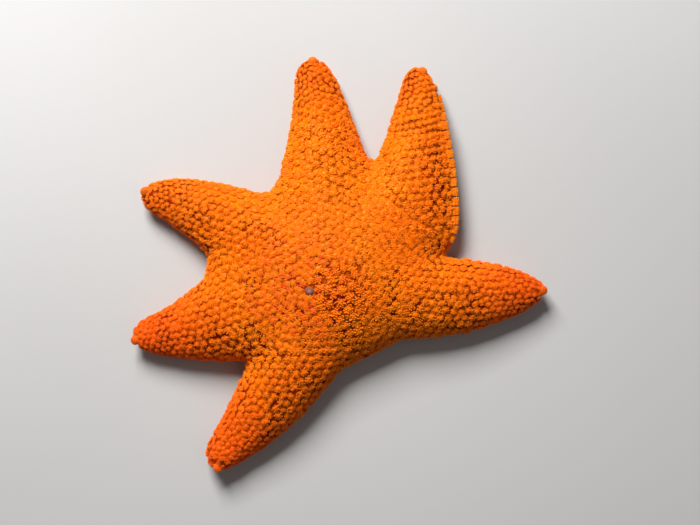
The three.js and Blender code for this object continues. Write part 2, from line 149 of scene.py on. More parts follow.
PLATE_SPREAD = dict(size=0.03, least=-0.05, most=0.04)
FRINGE_ANGLES = [-42, -12, 18, 42, 61, 80]       # rows of spinelets up an edge plate's outer side, in degrees
FRINGE_TOP = [(-0.1, 1), (-0.38, 1), (-0.66, 0.9), (-0.92, 0.9)]      # and over its top: place and narrowing
TUBE_FOOT = dict(pitch=1.75, first=5.5, last=0.86, aside=0.85, radius=0.40, sunk=0.35, clear=0.08, lean=0.10)
TUBE_PROFILE = np.array([(0, 0), (0.95, 0.0), (0.86, 0.3), (0.74, 0.6), (0.68, 0.84), (0.85, 0.92),
                         (1.08, 0.965), (1.0, 0.995), (0.4, 0.99), (0, 0.975)])
SPINE = dict(pitch=0.62, first=5.0, last=0.9, aside=0.22, dip=-0.62, radius=0.15, length=0.88, clear=0.04,
             lean=0.14, size=0.07)
SPINE_PROFILE = np.array([(0, -0.2), (1, -0.2), (1.05, 0.3), (0.9, 0.8), (0, 1.0)])
JAW = dict(gap=0.74, tooth=0.40, half_angle=17, across=0.7, upright=0.8, radius=0.17, length=0.8, sunk=0.25,
           dip=-0.75, clear=0.05)
JAW_PROFILE = np.array([(0, -0.2), (1, -0.2), (0.9, 0.6), (0, 1.0)])
JAW_SPINES = [(-9, 0.62), (-3.5, 0.50), (3.5, 0.50), (9, 0.62)]      # degrees off a tooth, share of radius
JAW_GRID = (144, 20)
SIEVE = dict(around=96, down=30, ridges=13, fold=0.10)
END_PLATE = dict(half=(0.96, 1.06, 0.84), power=0.9, sides=(24, 14), grains=70, set_in=(0.95, 1.05, 0.82))
END_GRAIN = dict(radius=0.15, length=0.13, turn=137.5)
GRAIN_PROFILE = np.array([(0, -0.4), (1, -0.4), (0.85, 0.6), (0, 1.0)])

# Where the markings change, in millimetres: arms with a red tip, how far the red is full and where it
# ends, and its strength, then the grains of red round the middle.
RED_TIPS = [((2, 3, 4), 4, 30, 0.75), ((0, 1, 5), 2, 14, 0.35)]
TIP_HEIGHT = 3.0
SPECKLED = dict(place=(-6.5, -3.5, 12.0), full=5, none=18, share=0.7)

# The stage, in metres: lights as name, place and size, the floor's two greys and where the camera looks.
KEY_LIGHT = ("key_light", (-0.12, 0.31, 0.30), 0.20)
FILL_LIGHT = ("fill_light", (0.30, -0.06, 0.34), 0.35)
FLOOR_HALF = 1.5
FLOOR_DARK, FLOOR_PALE = (0.47, 0.46, 0.45, 1), (0.51, 0.50, 0.49, 1)
ROOM_COLOUR = (1.0, 0.99, 0.97, 1)
TARGET = (2.5 * MM, 0.4 * MM, 3 * MM)
NEAREST, FARTHEST = 0.01, 10
SENSOR = 36                       # millimetres


# ---- The body's functions, on whole arrays of points ----------------------------------------------------

def smoothstep(x, low, high):
    """0 below low, 1 above high and an even ease between them, 3t^2 - 2t^3."""
    t = np.clip((x - low) / (high - low), 0, 1)
    return t * t * (3 - 2 * t)


def lerp(a, b, t):
    """From a at t = 0 to b at t = 1 in a straight line."""
    return a + (b - a) * t


def soft_max(values, softness):
    """A smooth maximum over the first axis: the greatest, plus the log of the sum of scaled powers."""
    top = np.max(values, axis=0)
    return top + softness * np.log(np.sum(np.exp((values - top) / softness), axis=0))


def quarter(t):
    """A quarter circle's rise from 0 at t = 0 to 1 at t = 1."""
    return np.sqrt(1 - (1 - np.clip(t, 0, 1)) ** 2)


def bent(value, power):
    """The value's size raised to a power, with its sign kept."""
    return np.sign(value) * np.abs(value) ** power


def polar(radius, angle):
    """Plan points at a radius and an angle."""
    return np.stack([radius * np.cos(angle), radius * np.sin(angle)], axis=-1)


def raised(plan, z):
    """The same points with one more measure each."""
    return np.concatenate([plan, np.broadcast_to(z, plan.shape[:-1])[..., None]], axis=-1)


def turned(x, y, degrees):
    """x and y turned anticlockwise about the origin."""
    c, s = math.cos(math.radians(degrees)), math.sin(math.radians(degrees))
    return c * x - s * y, s * x + c * y


def through_stations(values, s):
    """The cubic that takes these values at the stations."""
    total = 0
    for i, value in enumerate(values):
        weight = 1
        for j, station in enumerate(STATIONS):
            if j != i:
                weight = weight * (s - station) / (STATIONS[i] - station)
        total = total + value * weight
    return total


def swing(arm, s):
    """How far the midline has swung to the left at a share of the reach: a parabola of height bow."""
    t = np.clip(s, 0, 1)
    return 4 * arm["bow"] * t * (1 - t)


def on_arm(arm, s, d):
    """The point at share s of the arm's reach and distance d to the left of its midline."""
    return np.stack(turned(s * arm["reach"], swing(arm, s) + d, arm["heading"]), axis=-1)


def place_on_arm(arm, points):
    """Share s, distance d, half width, fullness and crest rise: fullness is 1 - (d/half)^2 - past^2.4."""
    along, aside = turned(points[..., 0], points[..., 1], -arm["heading"])
    s = along / arm["reach"]
    d = aside - swing(arm, s)
    wide = soft_max(np.stack([np.full_like(s, WIDTH_FROM), s]), WIDTH_EASE)
    held = -soft_max(np.stack([np.full_like(s, -WIDTH_TO), -wide]), WIDTH_EASE)
    left, right = through_stations(arm["left"], held), through_stations(arm["right"], held)
    blend = SIDE_BLEND * np.minimum(left, right)
    half = lerp(right, left, smoothstep(d, -blend, blend))
    past = np.where(s < 0, -along / half, np.maximum(0, (along - arm["reach"] + arm["cap"]) / arm["cap"]))
    fullness = 1 - (d / half) ** 2 - np.maximum(past, 0) ** CAP_POWER
    rise = lerp(ARM_RISE["root"], ARM_RISE["tip"], np.maximum(s, 0) ** ARM_RISE["bend"])
    return dict(s=s, d=d, half=half, fullness=fullness, rise=rise)


def web_reach(degrees):
    """How far the webs reach at an angle: an eased run from each axil to the next."""
    turn = WEB_ANGLES[0] + (degrees - WEB_ANGLES[0]) % 360
    angles = np.append(WEB_ANGLES, WEB_ANGLES[0] + 360)
    reaches = np.append(WEB_REACHES, WEB_REACHES[0])
    i = np.clip(np.searchsorted(angles, turn, side="right") - 1, 0, len(WEB_ANGLES) - 1)
    return lerp(reaches[i], reaches[i + 1], smoothstep(turn, angles[i], angles[i + 1]))


def survey(points):
    """Depth inside the outline, rise of the back, the arms' own measures and the share of the flange."""
    x, y = points[..., 0], points[..., 1]
    radius = np.hypot(x, y)
    arms = [place_on_arm(arm, points) for arm in ARMS]
    reach = web_reach(np.degrees(np.arctan2(y, x)))
    disc = dict(half=reach, fullness=1 - (radius / reach) ** 2, rise=np.full_like(radius, DISC_RISE))
    half, fullness, rise = (np.stack([lobe[key] for lobe in arms + [disc]])
                            for key in ("half", "fullness", "rise"))
    depths = fullness * half / 2
    depth = soft_max(depths, AXIL_ROUNDING)
    weights = np.exp((depths - depths.max(axis=0)) / SLOPE_ROUNDING)
    slope = (weights * 2 * rise ** 2 / half).sum(axis=0) / weights.sum(axis=0)
    square = soft_max(rise ** 2 * fullness, BACK_ROUNDING)
    back = np.sqrt(np.maximum(0, lerp(slope * depth, square, smoothstep(depth, 0, MARGIN_ZONE))))
    own = np.argmax(depths[:-1], axis=0)
    share = np.take_along_axis(np.stack([a["s"] for a in arms]), own[None], axis=0)[0]
    edge = arms[FLANGE_ARM]
    others = depths[:FLANGE_ARM].max(axis=0)
    flange = (smoothstep(edge["s"], FLANGE["start"], FLANGE["full"])
              * (1 - smoothstep(edge["s"], FLANGE["fade"], FLANGE["end"]))
              * smoothstep(-edge["d"], FLANGE["side_from"], FLANGE["side_full"])
              * smoothstep(depths[FLANGE_ARM] - others, FLANGE["lead_from"], FLANGE["lead_full"]))
    return dict(x=x, y=y, radius=radius, arms=arms, depth=depth, back=back, edge=edge, flange=flange,
                share=share, own=own)


def tip_lift(p):
    """How far an arm's last part is raised off the floor."""
    return TIP_LIFT["height"] * smoothstep(p["share"], TIP_LIFT["start"], 1)


def margin_height(p):
    """The height of the outline, where the back meets the underside."""
    return MARGIN_HEIGHT + tip_lift(p) + FLANGE["lift"] * p["flange"]


def top_height(p):
    """The rounded back, passing on the flange into a slope that ends in a furrow and a turned-up lip."""
    low = MARGIN_HEIGHT + tip_lift(p)
    swell = (SWELL["share"] * np.sin(p["x"] / SWELL["along_x"] + SWELL["turn_x"])
             * np.cos(p["y"] / SWELL["along_y"] + SWELL["turn_y"]))
    edge = p["edge"]
    inset = edge["half"] - np.abs(edge["d"])
    furrow = FLANGE["furrow"] * np.exp(-((inset - FLANGE["furrow_at"]) / FLANGE["furrow_width"]) ** 2)
    lip = low + FLANGE["lift"] + (FLANGE["edge_top"] - furrow) * quarter(inset)
    up = 1 - (1 - np.clip(inset / (FLANGE["slope_share"] * edge["half"]), 0, 1)) ** FLANGE["slope_power"]
    sloping = lip + (edge["rise"] - FLANGE["lift"] - FLANGE["edge_top"]) * up
    return lerp(low + p["back"] * (1 + swell), sloping, p["flange"])


def floor_height(p):
    """The underside without its grooves: resting bands at 0, a low arch between them and a curled edge."""
    margin = margin_height(p)
    bands = np.stack([np.where(a["s"] > BAND["start"], 1, 0) * smoothstep(np.abs(a["d"]), 0, GROOVE["half"])
                      * (1 - smoothstep(np.abs(a["d"]), GROOVE["half"] + BAND["width"],
                                        GROOVE["half"] + BAND["width"] + BAND["fade"])) for a in p["arms"]])
    floor = UNDER_ARCH * (1 - bands.max(axis=0)) + tip_lift(p)
    curled = lerp(margin, floor, quarter(p["depth"] / CURL))
    lip_bottom = margin - FLANGE["edge_bottom"] * quarter(p["depth"])
    lifted = lerp(lip_bottom, floor, smoothstep(p["depth"], 0, FLANGE["under"] * p["edge"]["half"]))
    return lerp(curled, lifted, p["flange"])


def groove_depth(p):
    """How deep the grooves and the mouth are cut: half an ellipse across each groove, level in the mouth."""
    cuts = [np.where(a["s"] < 0, 0, GROOVE["depth"] * np.sqrt(np.maximum(0, 1 - (a["d"] / GROOVE_HALF) ** 2))
                     * (1 - smoothstep(a["s"], GROOVE["fade_from"], GROOVE["fade_to"]))) for a in p["arms"]]
    cuts.append(MOUTH["depth"] * (1 - smoothstep(p["radius"], MOUTH["roof"], MOUTH["radius"])))
    return np.max(np.stack(cuts), axis=0)


def crossing(point_at, far, count):
    """Where inside turns into outside between 0 and far, by halving, for count points at once."""
    inside, outside = np.zeros(count), np.full(count, float(far))
    for _ in range(HALVINGS):
        middle = (inside + outside) / 2
        within = survey(point_at(middle))["depth"] > 0
        inside, outside = np.where(within, middle, inside), np.where(within, outside, middle)
    return inside


def tip_share(arm):
    """The share of the reach at which the midline leaves the outline."""
    return TIP_FROM + float(crossing(lambda t: on_arm(arm, TIP_FROM + t, 0 * t), TIP_LENGTH, 1)[0])


def margin_points(arm, s, side):
    """The arm's free margin at shares s on one side: stepped outwards, then found by halving."""
    steps = np.arange(0, MARGIN_REACH, MARGIN_STEP)
    outside = survey(on_arm(arm, s[:, None] + 0 * steps, side * steps[None]))["depth"] <= 0
    reached = steps[np.maximum(np.argmax(outside, axis=1) - 1, 0)]
    return on_arm(arm, s, side * (reached + crossing(lambda t: on_arm(arm, s, side * (reached + t)),
                                                     MARGIN_STEP, len(s))))


@functools.lru_cache(maxsize=1)
def axils():
    """Where each web's ray leaves the outline."""
    way = polar(1, np.radians(WEB_ANGLES))
    return way * crossing(lambda r: way * r[:, None], AXIL_SEARCH, len(WEB_ANGLES))[:, None]


def under_shares(width, free):
    """Shares of the way out for the columns below: the groove, the band, the under surface, the curl."""
    groove = np.minimum(GROOVE_HALF / width, MOST_GROOVE)
    band = np.minimum((GROOVE["half"] + BAND["width"]) / width, MOST_BAND)
    curl = np.where(free, 1 - np.minimum(CURL / width, MOST_CURL * (1 - band)), lerp(band, 1, 2 / 3))
    knots = [np.zeros_like(width), groove, band, curl, np.ones_like(width)]
    runs = []
    for low, high, count in zip(knots, knots[1:], UNDER_COLUMNS):
        t = np.arange(1, count + 1) / count
        runs.append(low[:, None] + (high - low)[:, None] * (np.sin(t * np.pi / 2) if low is curl else t))
    return np.concatenate(runs, axis=1)


def sector_lines(index):
    """The rows of an arm's sector from the middle of the disc to the tip: middle, left, right, free."""
    arm = ARMS[index]
    ends = {1: axils()[index], -1: axils()[index - 1]}
    share = {side: float(place_on_arm(arm, end)["s"]) for side, end in ends.items()}
    start, end = (share[1] + share[-1]) / 2, tip_share(arm)
    t = np.arange(INNER_ROWS + 1) / INNER_ROWS
    far = np.sin(np.arange(1, OUTER_ROWS) / OUTER_ROWS * np.pi / 2)
    tip = on_arm(arm, np.array([end]), np.zeros(1))
    middle = np.concatenate([on_arm(arm, start * t, 0 * t), on_arm(arm, lerp(start, end, far), 0 * far), tip])
    left, right = (np.concatenate([t[:, None] * ends[side],
                                   margin_points(arm, lerp(share[side], end, far), side), tip])
                   for side in (1, -1))
    return middle, left, right, np.arange(len(middle)) >= INNER_ROWS


def grid_faces(rows, columns, round_rows=False, round_columns=False):
    """Two triangles for each cell of a grid of points, whose last row or column may join its first."""
    i = np.arange(rows - (not round_rows))[:, None]
    j = np.arange(columns - (not round_columns))
    across, down = (j + 1) % columns, (i + 1) % rows * columns
    a, b, c, d = i * columns + j, down + j, down + across, i * columns + across
    return np.concatenate([np.stack([a, b, c], -1).reshape(-1, 3), np.stack([a, c, d], -1).reshape(-1, 3)])


def weld(points, triangles, *layers):
    """Joins points that coincide to a ten-thousandth of a millimetre and drops triangles that collapse."""
    _, first, where = np.unique(np.round(points * 1e4), axis=0, return_index=True, return_inverse=True)
    triangles = where.reshape(-1)[triangles]
    whole = ((triangles[:, 0] != triangles[:, 1]) & (triangles[:, 1] != triangles[:, 2])
             & (triangles[:, 2] != triangles[:, 0]))
    return points[first], triangles[whole], *(layer[whole] for layer in layers)


def facing(points, triangles):
    """Each triangle's normal, as long as twice its area."""
    a, b, c = (points[triangles[:, i]] for i in range(3))
    return np.cross(b - a, c - a)


def vertex_normals(points, triangles):
    """Unit normals: the sum of the normals of the triangles around each point, weighted by their areas."""
    total = np.stack([np.bincount(triangles.ravel(), np.repeat(normal, 3), len(points))
                      for normal in facing(points, triangles).T], axis=1)
    return total / np.maximum(np.linalg.norm(total, axis=1, keepdims=True), 1e-12)


@functools.lru_cache(maxsize=4)
def skin_surface(depth):
    """The closed skin, in millimetres: the body drawn in by depth along its normals, then grooved.

    Each sector is a grid of rows from the middle of the disc to the tip and columns across the arm.
    Returns points, normals, triangles, each triangle's corner places on the unwrap, and whether it is
    on the back. The unwrap has the sectors side by side, the back in its lower half.
    """
    points, triangles, corners, backs, offset = [], [], [], [], 0
    for index, arm in enumerate(ARMS):
        middle, left, right, free = sector_lines(index)
        for back in (True, False):
            halves = []
            for side in (right, left):
                width = np.maximum(np.abs(place_on_arm(arm, side)["d"]), 0.05)
                shares = (np.sin(np.arange(1, COLUMNS + 1) / COLUMNS * np.pi / 2)[None] if back
                          else under_shares(width, free))
                halves.append(middle[:, None] + (side - middle)[:, None] * shares[..., None])
            plan = np.concatenate([halves[0][:, ::-1], middle[:, None], halves[1]], axis=1)
            p = survey(plan)
            z, rim = top_height(p) if back else floor_height(p), margin_height(p)
            z[free, 0], z[free, -1] = rim[free, 0], rim[free, -1]
            z[-1] = rim[-1]
            rows, columns = z.shape
            points.append(raised(plan, z).reshape(-1, 3))
            u, v = np.meshgrid(np.linspace(UNWRAP_LEFT, 1 - UNWRAP_LEFT, columns),
                               np.linspace(UNWRAP_LOW, 0.5 - UNWRAP_LOW, rows))
            spot = np.stack([(index + u) / len(ARMS), v + (0 if back else 0.5)], axis=-1).reshape(-1, 2)
            pair = grid_faces(rows, columns)
            pair = pair if back else pair[:, ::-1]
            corners.append(spot[pair])
            triangles.append(pair + offset)
            backs.append(np.full(len(pair), back))
            offset += rows * columns
    points, triangles, corners, backs = weld(*map(np.concatenate, (points, triangles, corners, backs)))
    points = points - depth * vertex_normals(points, triangles)
    under = np.ones(len(points), bool)
    under[triangles[backs].ravel()] = False
    points[under, 2] = np.maximum(points[under, 2], depth) + groove_depth(survey(points[under]))
    return points, vertex_normals(points, triangles), triangles, corners, backs


def size(name):
    """One of the user's sizes, in millimetres."""
    return getattr(bpy.context.scene.starfish_sizes, name) / MM


def skin():
    """The skin at the user's depth of coat."""
    return skin_surface(size("coat_depth"))


# ---- Small closed shapes and how they are set out -------------------------------------------------------

def lathe(profile, around):
    """A closed turned shape: rings of around points at each (radius, height), with a point at each end."""
    rings = profile[1:-1]
    body = raised(polar(rings[:, :1], np.arange(around) * 2 * np.pi / around), rings[:, 1:])
    points = np.concatenate([[[0, 0, profile[0, 1]]], body.reshape(-1, 3), [[0, 0, profile[-1, 1]]]])
    j = 1 + np.arange(around)
    k = 1 + j % around
    last, end = (len(rings) - 1) * around, np.full(around, len(points) - 1)
    return points, np.concatenate([np.stack([0 * j, k, j], 1),
                                   1 + grid_faces(len(rings), around, round_columns=True)[:, ::-1],
                                   np.stack([last + j, last + k, end], 1)])


def joined(*parts):
    """One mesh from several: their points, and their triangles moved on past the points before them."""
    offsets = np.cumsum([0] + [len(points) for points, _ in parts])
    return (np.concatenate([points for points, _ in parts]),
            np.concatenate([triangles + offset for (_, triangles), offset in zip(parts, offsets)]))


def frames_along(direction, turn=0.0):
    """Right-handed axes whose third is the direction, turned about it: arrays of three rows each."""
    direction = direction / np.linalg.norm(direction, axis=-1, keepdims=True)
    helper = np.where(np.abs(direction[..., 2:]) < 0.9, [0.0, 0.0, 1.0], [1.0, 0.0, 0.0])
    first = np.cross(helper, direction)
    first /= np.linalg.norm(first, axis=-1, keepdims=True)
    second = np.cross(direction, first)
    c, s = np.cos(turn)[..., None], np.sin(turn)[..., None]
    return np.stack([c * first + s * second, c * second - s * first, direction], axis=-2)


def set_out(shape, triangles, roots, axes, scale=1.0):
    """Copies of a shape, or of one shape for each root, in one mesh: root + scale * shape @ axes.

    Returns points, triangles and the scaled copies on their own axes.
    """
    local = shape * np.broadcast_to(scale, len(roots))[:, None, None]
    points = roots[:, None] + np.einsum("nti,nij->ntj", local, axes)
    offset = np.arange(len(roots))[:, None, None] * local.shape[1]
    return points.reshape(-1, 3), (triangles + offset).reshape(-1, 3), local


def outwards(z, top, low, high):
    """How far out points lie: low at height 0 and below, and high at the top and above."""
    return lerp(low, high, np.clip(z / top, 0, 1))


def tufts(pitch, rng, kinds, radius, height, thick, length, rings):
    """Kinds of bead: a dome and, in rings of (count, share of radius, lean), spinelets that stand on it.

    The dome is turned from a low mound's profile. A spinelet is a six-sided club with a blunt end, which
    leans outwards by its ring's angle. Returns shapes, triangles and how far out each point lies, 0 to 1.
    """
    radius = radius * pitch
    spread = TUFT_SPREAD
    dome, dome_faces = lathe(MOUND * [radius, height], DOME_SIDES)
    rod, rod_faces = lathe(SPINELET * [thick, length], SPINELET_SIDES)
    count = sum(number for number, _, _ in rings)
    shapes = []
    for _ in range(kinds):
        made = [dome]
        for number, share, lean in rings:
            turn = (np.arange(number) + rng.random()) * 2 * np.pi / number
            turn = turn + rng.normal(0, spread["turn"], number)
            out = share * radius * (1 + rng.normal(0, spread["out"], number))
            lift = height * np.sqrt(np.maximum(0, 1 - (out / (1.05 * radius)) ** 2))
            tilt = np.radians(lean) + rng.normal(0, spread["tilt"], number)
            axes = frames_along(raised(polar(np.sin(tilt), turn), np.cos(tilt)), rng.random(number) * np.pi)
            long = 1 + rng.normal(0, spread["length"], number).clip(spread["shortest"], spread["longest"])
            made.append(set_out(rod, rod_faces, raised(polar(out, turn), lift), axes, long)[0])
        stretch = rng.uniform(-spread["oval"], spread["oval"])
        shapes.append(np.concatenate(made) * [1 + stretch, 1 - stretch, 1])
    # A dome's out runs from 0 at its foot, where the coat paints shade, to DOME_TOP at its top.
    out = np.concatenate([outwards(dome[:, 2], height, 0, DOME_TOP),
                          np.tile(outwards(rod[:, 2], length, DOME_TOP, 1), count)])
    return np.stack(shapes), joined((dome, dome_faces), *[(rod, rod_faces)] * count)[1], out


def scattered(surface, chosen, count, rng):
    """Points spread evenly by area over the chosen triangles, their normals and unwrap places, the area."""
    points, normals, triangles, corners, _ = surface
    t = triangles[chosen]
    area = np.linalg.norm(facing(points, t), axis=1) / 2
    pick = rng.choice(len(t), count, p=area / area.sum())
    root, share = np.sqrt(rng.random(count)), rng.random(count)
    weight = np.stack([1 - root, root * (1 - share), root * share], axis=1)[..., None]
    normal = (normals[t[pick]] * weight).sum(axis=1)
    return ((points[t[pick]] * weight).sum(axis=1), normal / np.linalg.norm(normal, axis=1, keepdims=True),
            (corners[chosen][pick] * weight).sum(axis=1), area.sum())


def nearest(points, roots, chunk=1000):
    """For each point the nearest root, from |p - r|^2 = |p|^2 - 2 p.r + |r|^2, a chunk at a time."""
    points, roots = points.astype(np.float32), roots.astype(np.float32)
    square = (roots ** 2).sum(axis=1)
    return np.concatenate([np.argmin(square - 2 * points[i:i + chunk] @ roots.T, axis=1)
                           for i in range(0, len(points), chunk)])


def pitch_share(s):
    """The beads' pitch at a share of an arm's reach, against the widest: finer on the disc and at the tip."""
    return (lerp(DISC_FINENESS, 1, smoothstep(s, *DISC_EASE))
            * lerp(1, TIP_FINENESS, smoothstep(s, *TIP_EASE)))


def in_rows(samples, pitch, density, depth, back):
    """Starting places in rows that run along each arm, every second row moved on by half a pitch.

    A sample's place along the arm is the length from the middle counted in local pitches, and its place
    across is its chord from the crest counted so too. Samples that round to one cell share one place,
    their mean. A cell is dropped if it is much emptier than its size allows, or close to a fuller one.
    """
    p = survey(samples)
    cells = np.zeros((len(samples), 3), int)
    steps = np.linspace(0, LAST_SHARE, PITCH_STEPS)
    for index, arm in enumerate(ARMS):
        mine = p["own"] == index
        s, d = p["arms"][index]["s"][mine], p["arms"][index]["d"][mine]
        counted = np.cumsum(arm["reach"] * np.gradient(steps) / (pitch * pitch_share(steps)))
        drop = 0
        if back:
            crest = top_height(survey(on_arm(arm, np.clip(s, 0, TIP_FROM), 0 * s)))
            drop = np.maximum(crest - depth - samples[mine, 2], 0)
        across = np.sign(d) * np.hypot(d, drop) / (pitch * pitch_share(s))
        row = np.round(across / ROW_GAP).astype(int)
        along = np.round(np.interp(s, steps, counted) - (row % 2) / 2).astype(int)
        cells[mine] = np.stack([np.full(len(row), index), row, along], axis=1)
    _, owner, held = np.unique(cells, axis=0, return_inverse=True, return_counts=True)
    roots = middles(samples, owner.reshape(-1), len(held))
    local = pitch * pitch_share(survey(roots)["share"])
    full = held > LEAST_FILL * density * ROW_GAP * local ** 2
    roots, held, local = roots[full], held[full], local[full]
    rank = np.argsort(np.argsort(-held, kind="stable"))
    close = distances(roots) < LEAST_GAP * local[:, None]
    return roots[~(close & (rank[None] < rank[:, None])).any(axis=1)]


def middles(samples, owner, count):
    """The mean of the samples that each of count owners has."""
    held = np.maximum(np.bincount(owner, minlength=count), 1)
    return np.stack([np.bincount(owner, samples[:, k], count) / held for k in range(3)], axis=1)


def distances(roots):
    """How far apart every two roots are."""
    square = (roots ** 2).sum(axis=1)
    return np.sqrt(np.maximum(square[:, None] - 2 * roots @ roots.T + square, 0))


def evened(samples, roots, rounds):
    """Which samples to take as roots. Each round moves every root to the mean of the samples nearest to
    it, which evens them out, and at the end it goes to the nearest sample."""
    for _ in range(rounds):
        roots = middles(samples, nearest(samples, roots), len(roots))
    return np.unique(nearest(roots, samples))


def laid_out(chosen, pitch, back, rng):
    """Places, normals and unwrap places of the beads on one side: samples put in rows, then evened."""
    area = scattered(skin(), chosen, 1, rng)[3]
    count = int(area * SAMPLES)
    layers = scattered(skin(), chosen, count, rng)[:3]
    starts = in_rows(layers[0], pitch, count / area, size("coat_depth"), back)
    picked = evened(layers[0], starts, bpy.context.scene.starfish_sizes.evening)
    return [layer[picked] for layer in layers]


def spacing(roots):
    """The mean distance from each root to its four nearest others."""
    return np.sort(np.partition(distances(roots), 5, axis=1)[:, :5], axis=1)[:, 1:].mean(axis=1)


def unwrap_places(roots, back):
    """Where roots off the skin come on its unwrap: at the middle of the nearest triangle of that side."""
    points, _, triangles, corners, is_back = skin()
    chosen = is_back == back
    return corners[chosen].mean(axis=1)[nearest(roots, points[triangles[chosen]].mean(axis=1), 400)]


def patches(spots, local, reach, triangles):
    """Corner places of a patch round each root's place on the unwrap, from the copies' own plan shapes."""
    spot = spots[:, None] + PATCH * np.clip(local[..., :2] / reach, -1, 1)
    return spot.reshape(-1, 2)[triangles.ravel()]


# ---- Putting pieces into the scene ----------------------------------------------------------------------

def put_piece(name, points, triangles, material, replaced=(), uv=None, layers=None):
    """A mesh piece from arrays in millimetres of the body's own plan, riding on the root."""
    points = (np.asarray(points) + [*DISC_MIDDLE, 0]) * MM
    mesh = bpy.data.meshes.new(name)
    mesh.vertices.add(len(points))
    mesh.vertices.foreach_set("co", points.astype(np.float32).ravel())
    mesh.loops.add(triangles.size)
    mesh.loops.foreach_set("vertex_index", triangles.astype(np.int32).ravel())
    mesh.polygons.add(len(triangles))
    mesh.polygons.foreach_set("loop_start", (np.arange(len(triangles)) * 3).astype(np.int32))
    if uv is not None:
        mesh.uv_layers.new(name="OFBake").data.foreach_set("uv", uv.astype(np.float32).ravel())
    for key, values in (layers or {}).items():
        mesh.attributes.new(key, "FLOAT", "POINT").data.foreach_set("value", values.astype(np.float32))
    mesh.update(calc_edges=True)
    mesh.polygons.foreach_set("use_smooth", np.ones(len(triangles), bool))
    mesh.materials.append(material)
    piece = bpy.data.objects.new(name, mesh)
    bpy.context.collection.objects.link(piece)
    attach(piece, "root")
    if replaced:
        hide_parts(*replaced)
    if mesh.validate():
        raise RuntimeError(f"{name} has faces that Blender had to mend")


def bead_layers(out, tone, pale):
    """What the coat's finish reads on every copy: how far out a point lies, its tone and how pale it is."""
    return dict(out=np.tile(out, len(tone)), tone=np.repeat(tone, len(out)),
                pale=np.full(len(out) * len(tone), pale))


def node_centre(name):
    """The middle and the half sizes of a CAD node, in millimetres of the body's own plan."""
    low, high = (np.array(corner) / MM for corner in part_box(name))
    return (low + high) / 2 - [*DISC_MIDDLE, 0], (high - low) / 2


# ---- Materials ------------------------------------------------------------------------------------------

def linear(key):
    """One of the user's colours, from what a screen shows to light: the inverse of the sRGB curve."""
    c = np.asarray(getattr(bpy.context.scene.starfish_colours, key), float)
    return (*np.where(c <= 0.04045, c / 12.92, ((c + 0.055) / 1.055) ** 2.4), 1.0)


class Nodes:
    """A node tree with short ways to add the nodes that the finishes are made of."""

    def __init__(self, tree):
        self.tree = tree
        self.place = 0

    def put(self, socket, value):
        """Links a socket to another's output, or gives it a fixed value."""
        if isinstance(value, bpy.types.NodeSocket):
            self.tree.links.new(value, socket)
        else:
            socket.default_value = value

    def add(self, kind, inputs=None, **settings):
        node = self.tree.nodes.new(kind)
        self.place += 1
        node.location = (180 * (self.place % 8), -220 * (self.place // 8))
        for key, value in settings.items():
            setattr(node, key, value)
        for key, value in (inputs or {}).items():
            self.put(node.inputs[key], value)
        return node

    def times(self, a, b):
        return self.add("ShaderNodeMath", {0: a, 1: b}, operation="MULTIPLY").outputs[0]

    def mixed(self, share, a, b):
        return self.add("ShaderNodeMix", {0: share, 6: a, 7: b}, data_type="RGBA").outputs[2]

    def eased(self, value, low, high, to_low=0.0, to_high=1.0):
        return self.add("ShaderNodeMapRange", {"Value": value, "From Min": low, "From Max": high,
                                               "To Min": to_low, "To Max": to_high},
                        interpolation_type="SMOOTHSTEP").outputs["Result"]

    def noise(self, scale, detail=2.0):
        return self.add("ShaderNodeTexNoise", {"Vector": self.spot(), "Scale": scale,
                                               "Detail": detail}).outputs["Fac"]

    def varied(self, scale, least, most):
        """A value that wanders between least and most over the surface."""
        return self.eased(self.noise(scale), 0.3, 0.7, least, most)

    def bumped(self, scale, detail, strength, distance):
        return self.add("ShaderNodeBump", {"Height": self.noise(scale, detail), "Strength": strength,
                                           "Distance": distance}).outputs["Normal"]

    def spot(self):
        found = self.tree.nodes.get("Spot")
        if found is None:
            found = self.add("ShaderNodeTexCoord")
            found.name = "Spot"
        return found.outputs["Object"]

    def height(self):
        return self.add("ShaderNodeSeparateXYZ", {0: self.spot()}).outputs["Z"]

    def attribute(self, name):
        return self.add("ShaderNodeAttribute", attribute_name=name).outputs["Fac"]

    def near(self, place, full, none, most=1.0, least=0.0):
        """From most within full of a place on the body's own plan to least beyond none, in millimetres."""
        place = tuple((np.array(place) + [*DISC_MIDDLE, 0]) * MM)
        away = self.add("ShaderNodeVectorMath", {0: self.spot(), 1: place}, operation="DISTANCE")
        return self.eased(away.outputs["Value"], none * MM, full * MM, least, most)

    def marked(self):
        return self.add("ShaderNodeGroup", node_tree=markings()).outputs["Colour"]

    def pits_and_painted_shade(self):
        """How strongly the gaps take their red brown, partly the papulae's own red and partly painted shade
        between the beads: deeper in loose clusters, paler round SMOOTH and on the underside.
        """
        place = (SMOOTH["x"], SMOOTH["y"], SMOOTH["z"])
        clusters = self.eased(self.noise(150, 1.0), 0.40, 0.62, 0.40, 1.0)
        return self.times(self.times(clusters, self.near(place, SMOOTH["full"], SMOOTH["none"], 0.70, 1.0)),
                          self.eased(self.height(), 0.0008, 0.0026, 0.40, 1.0))


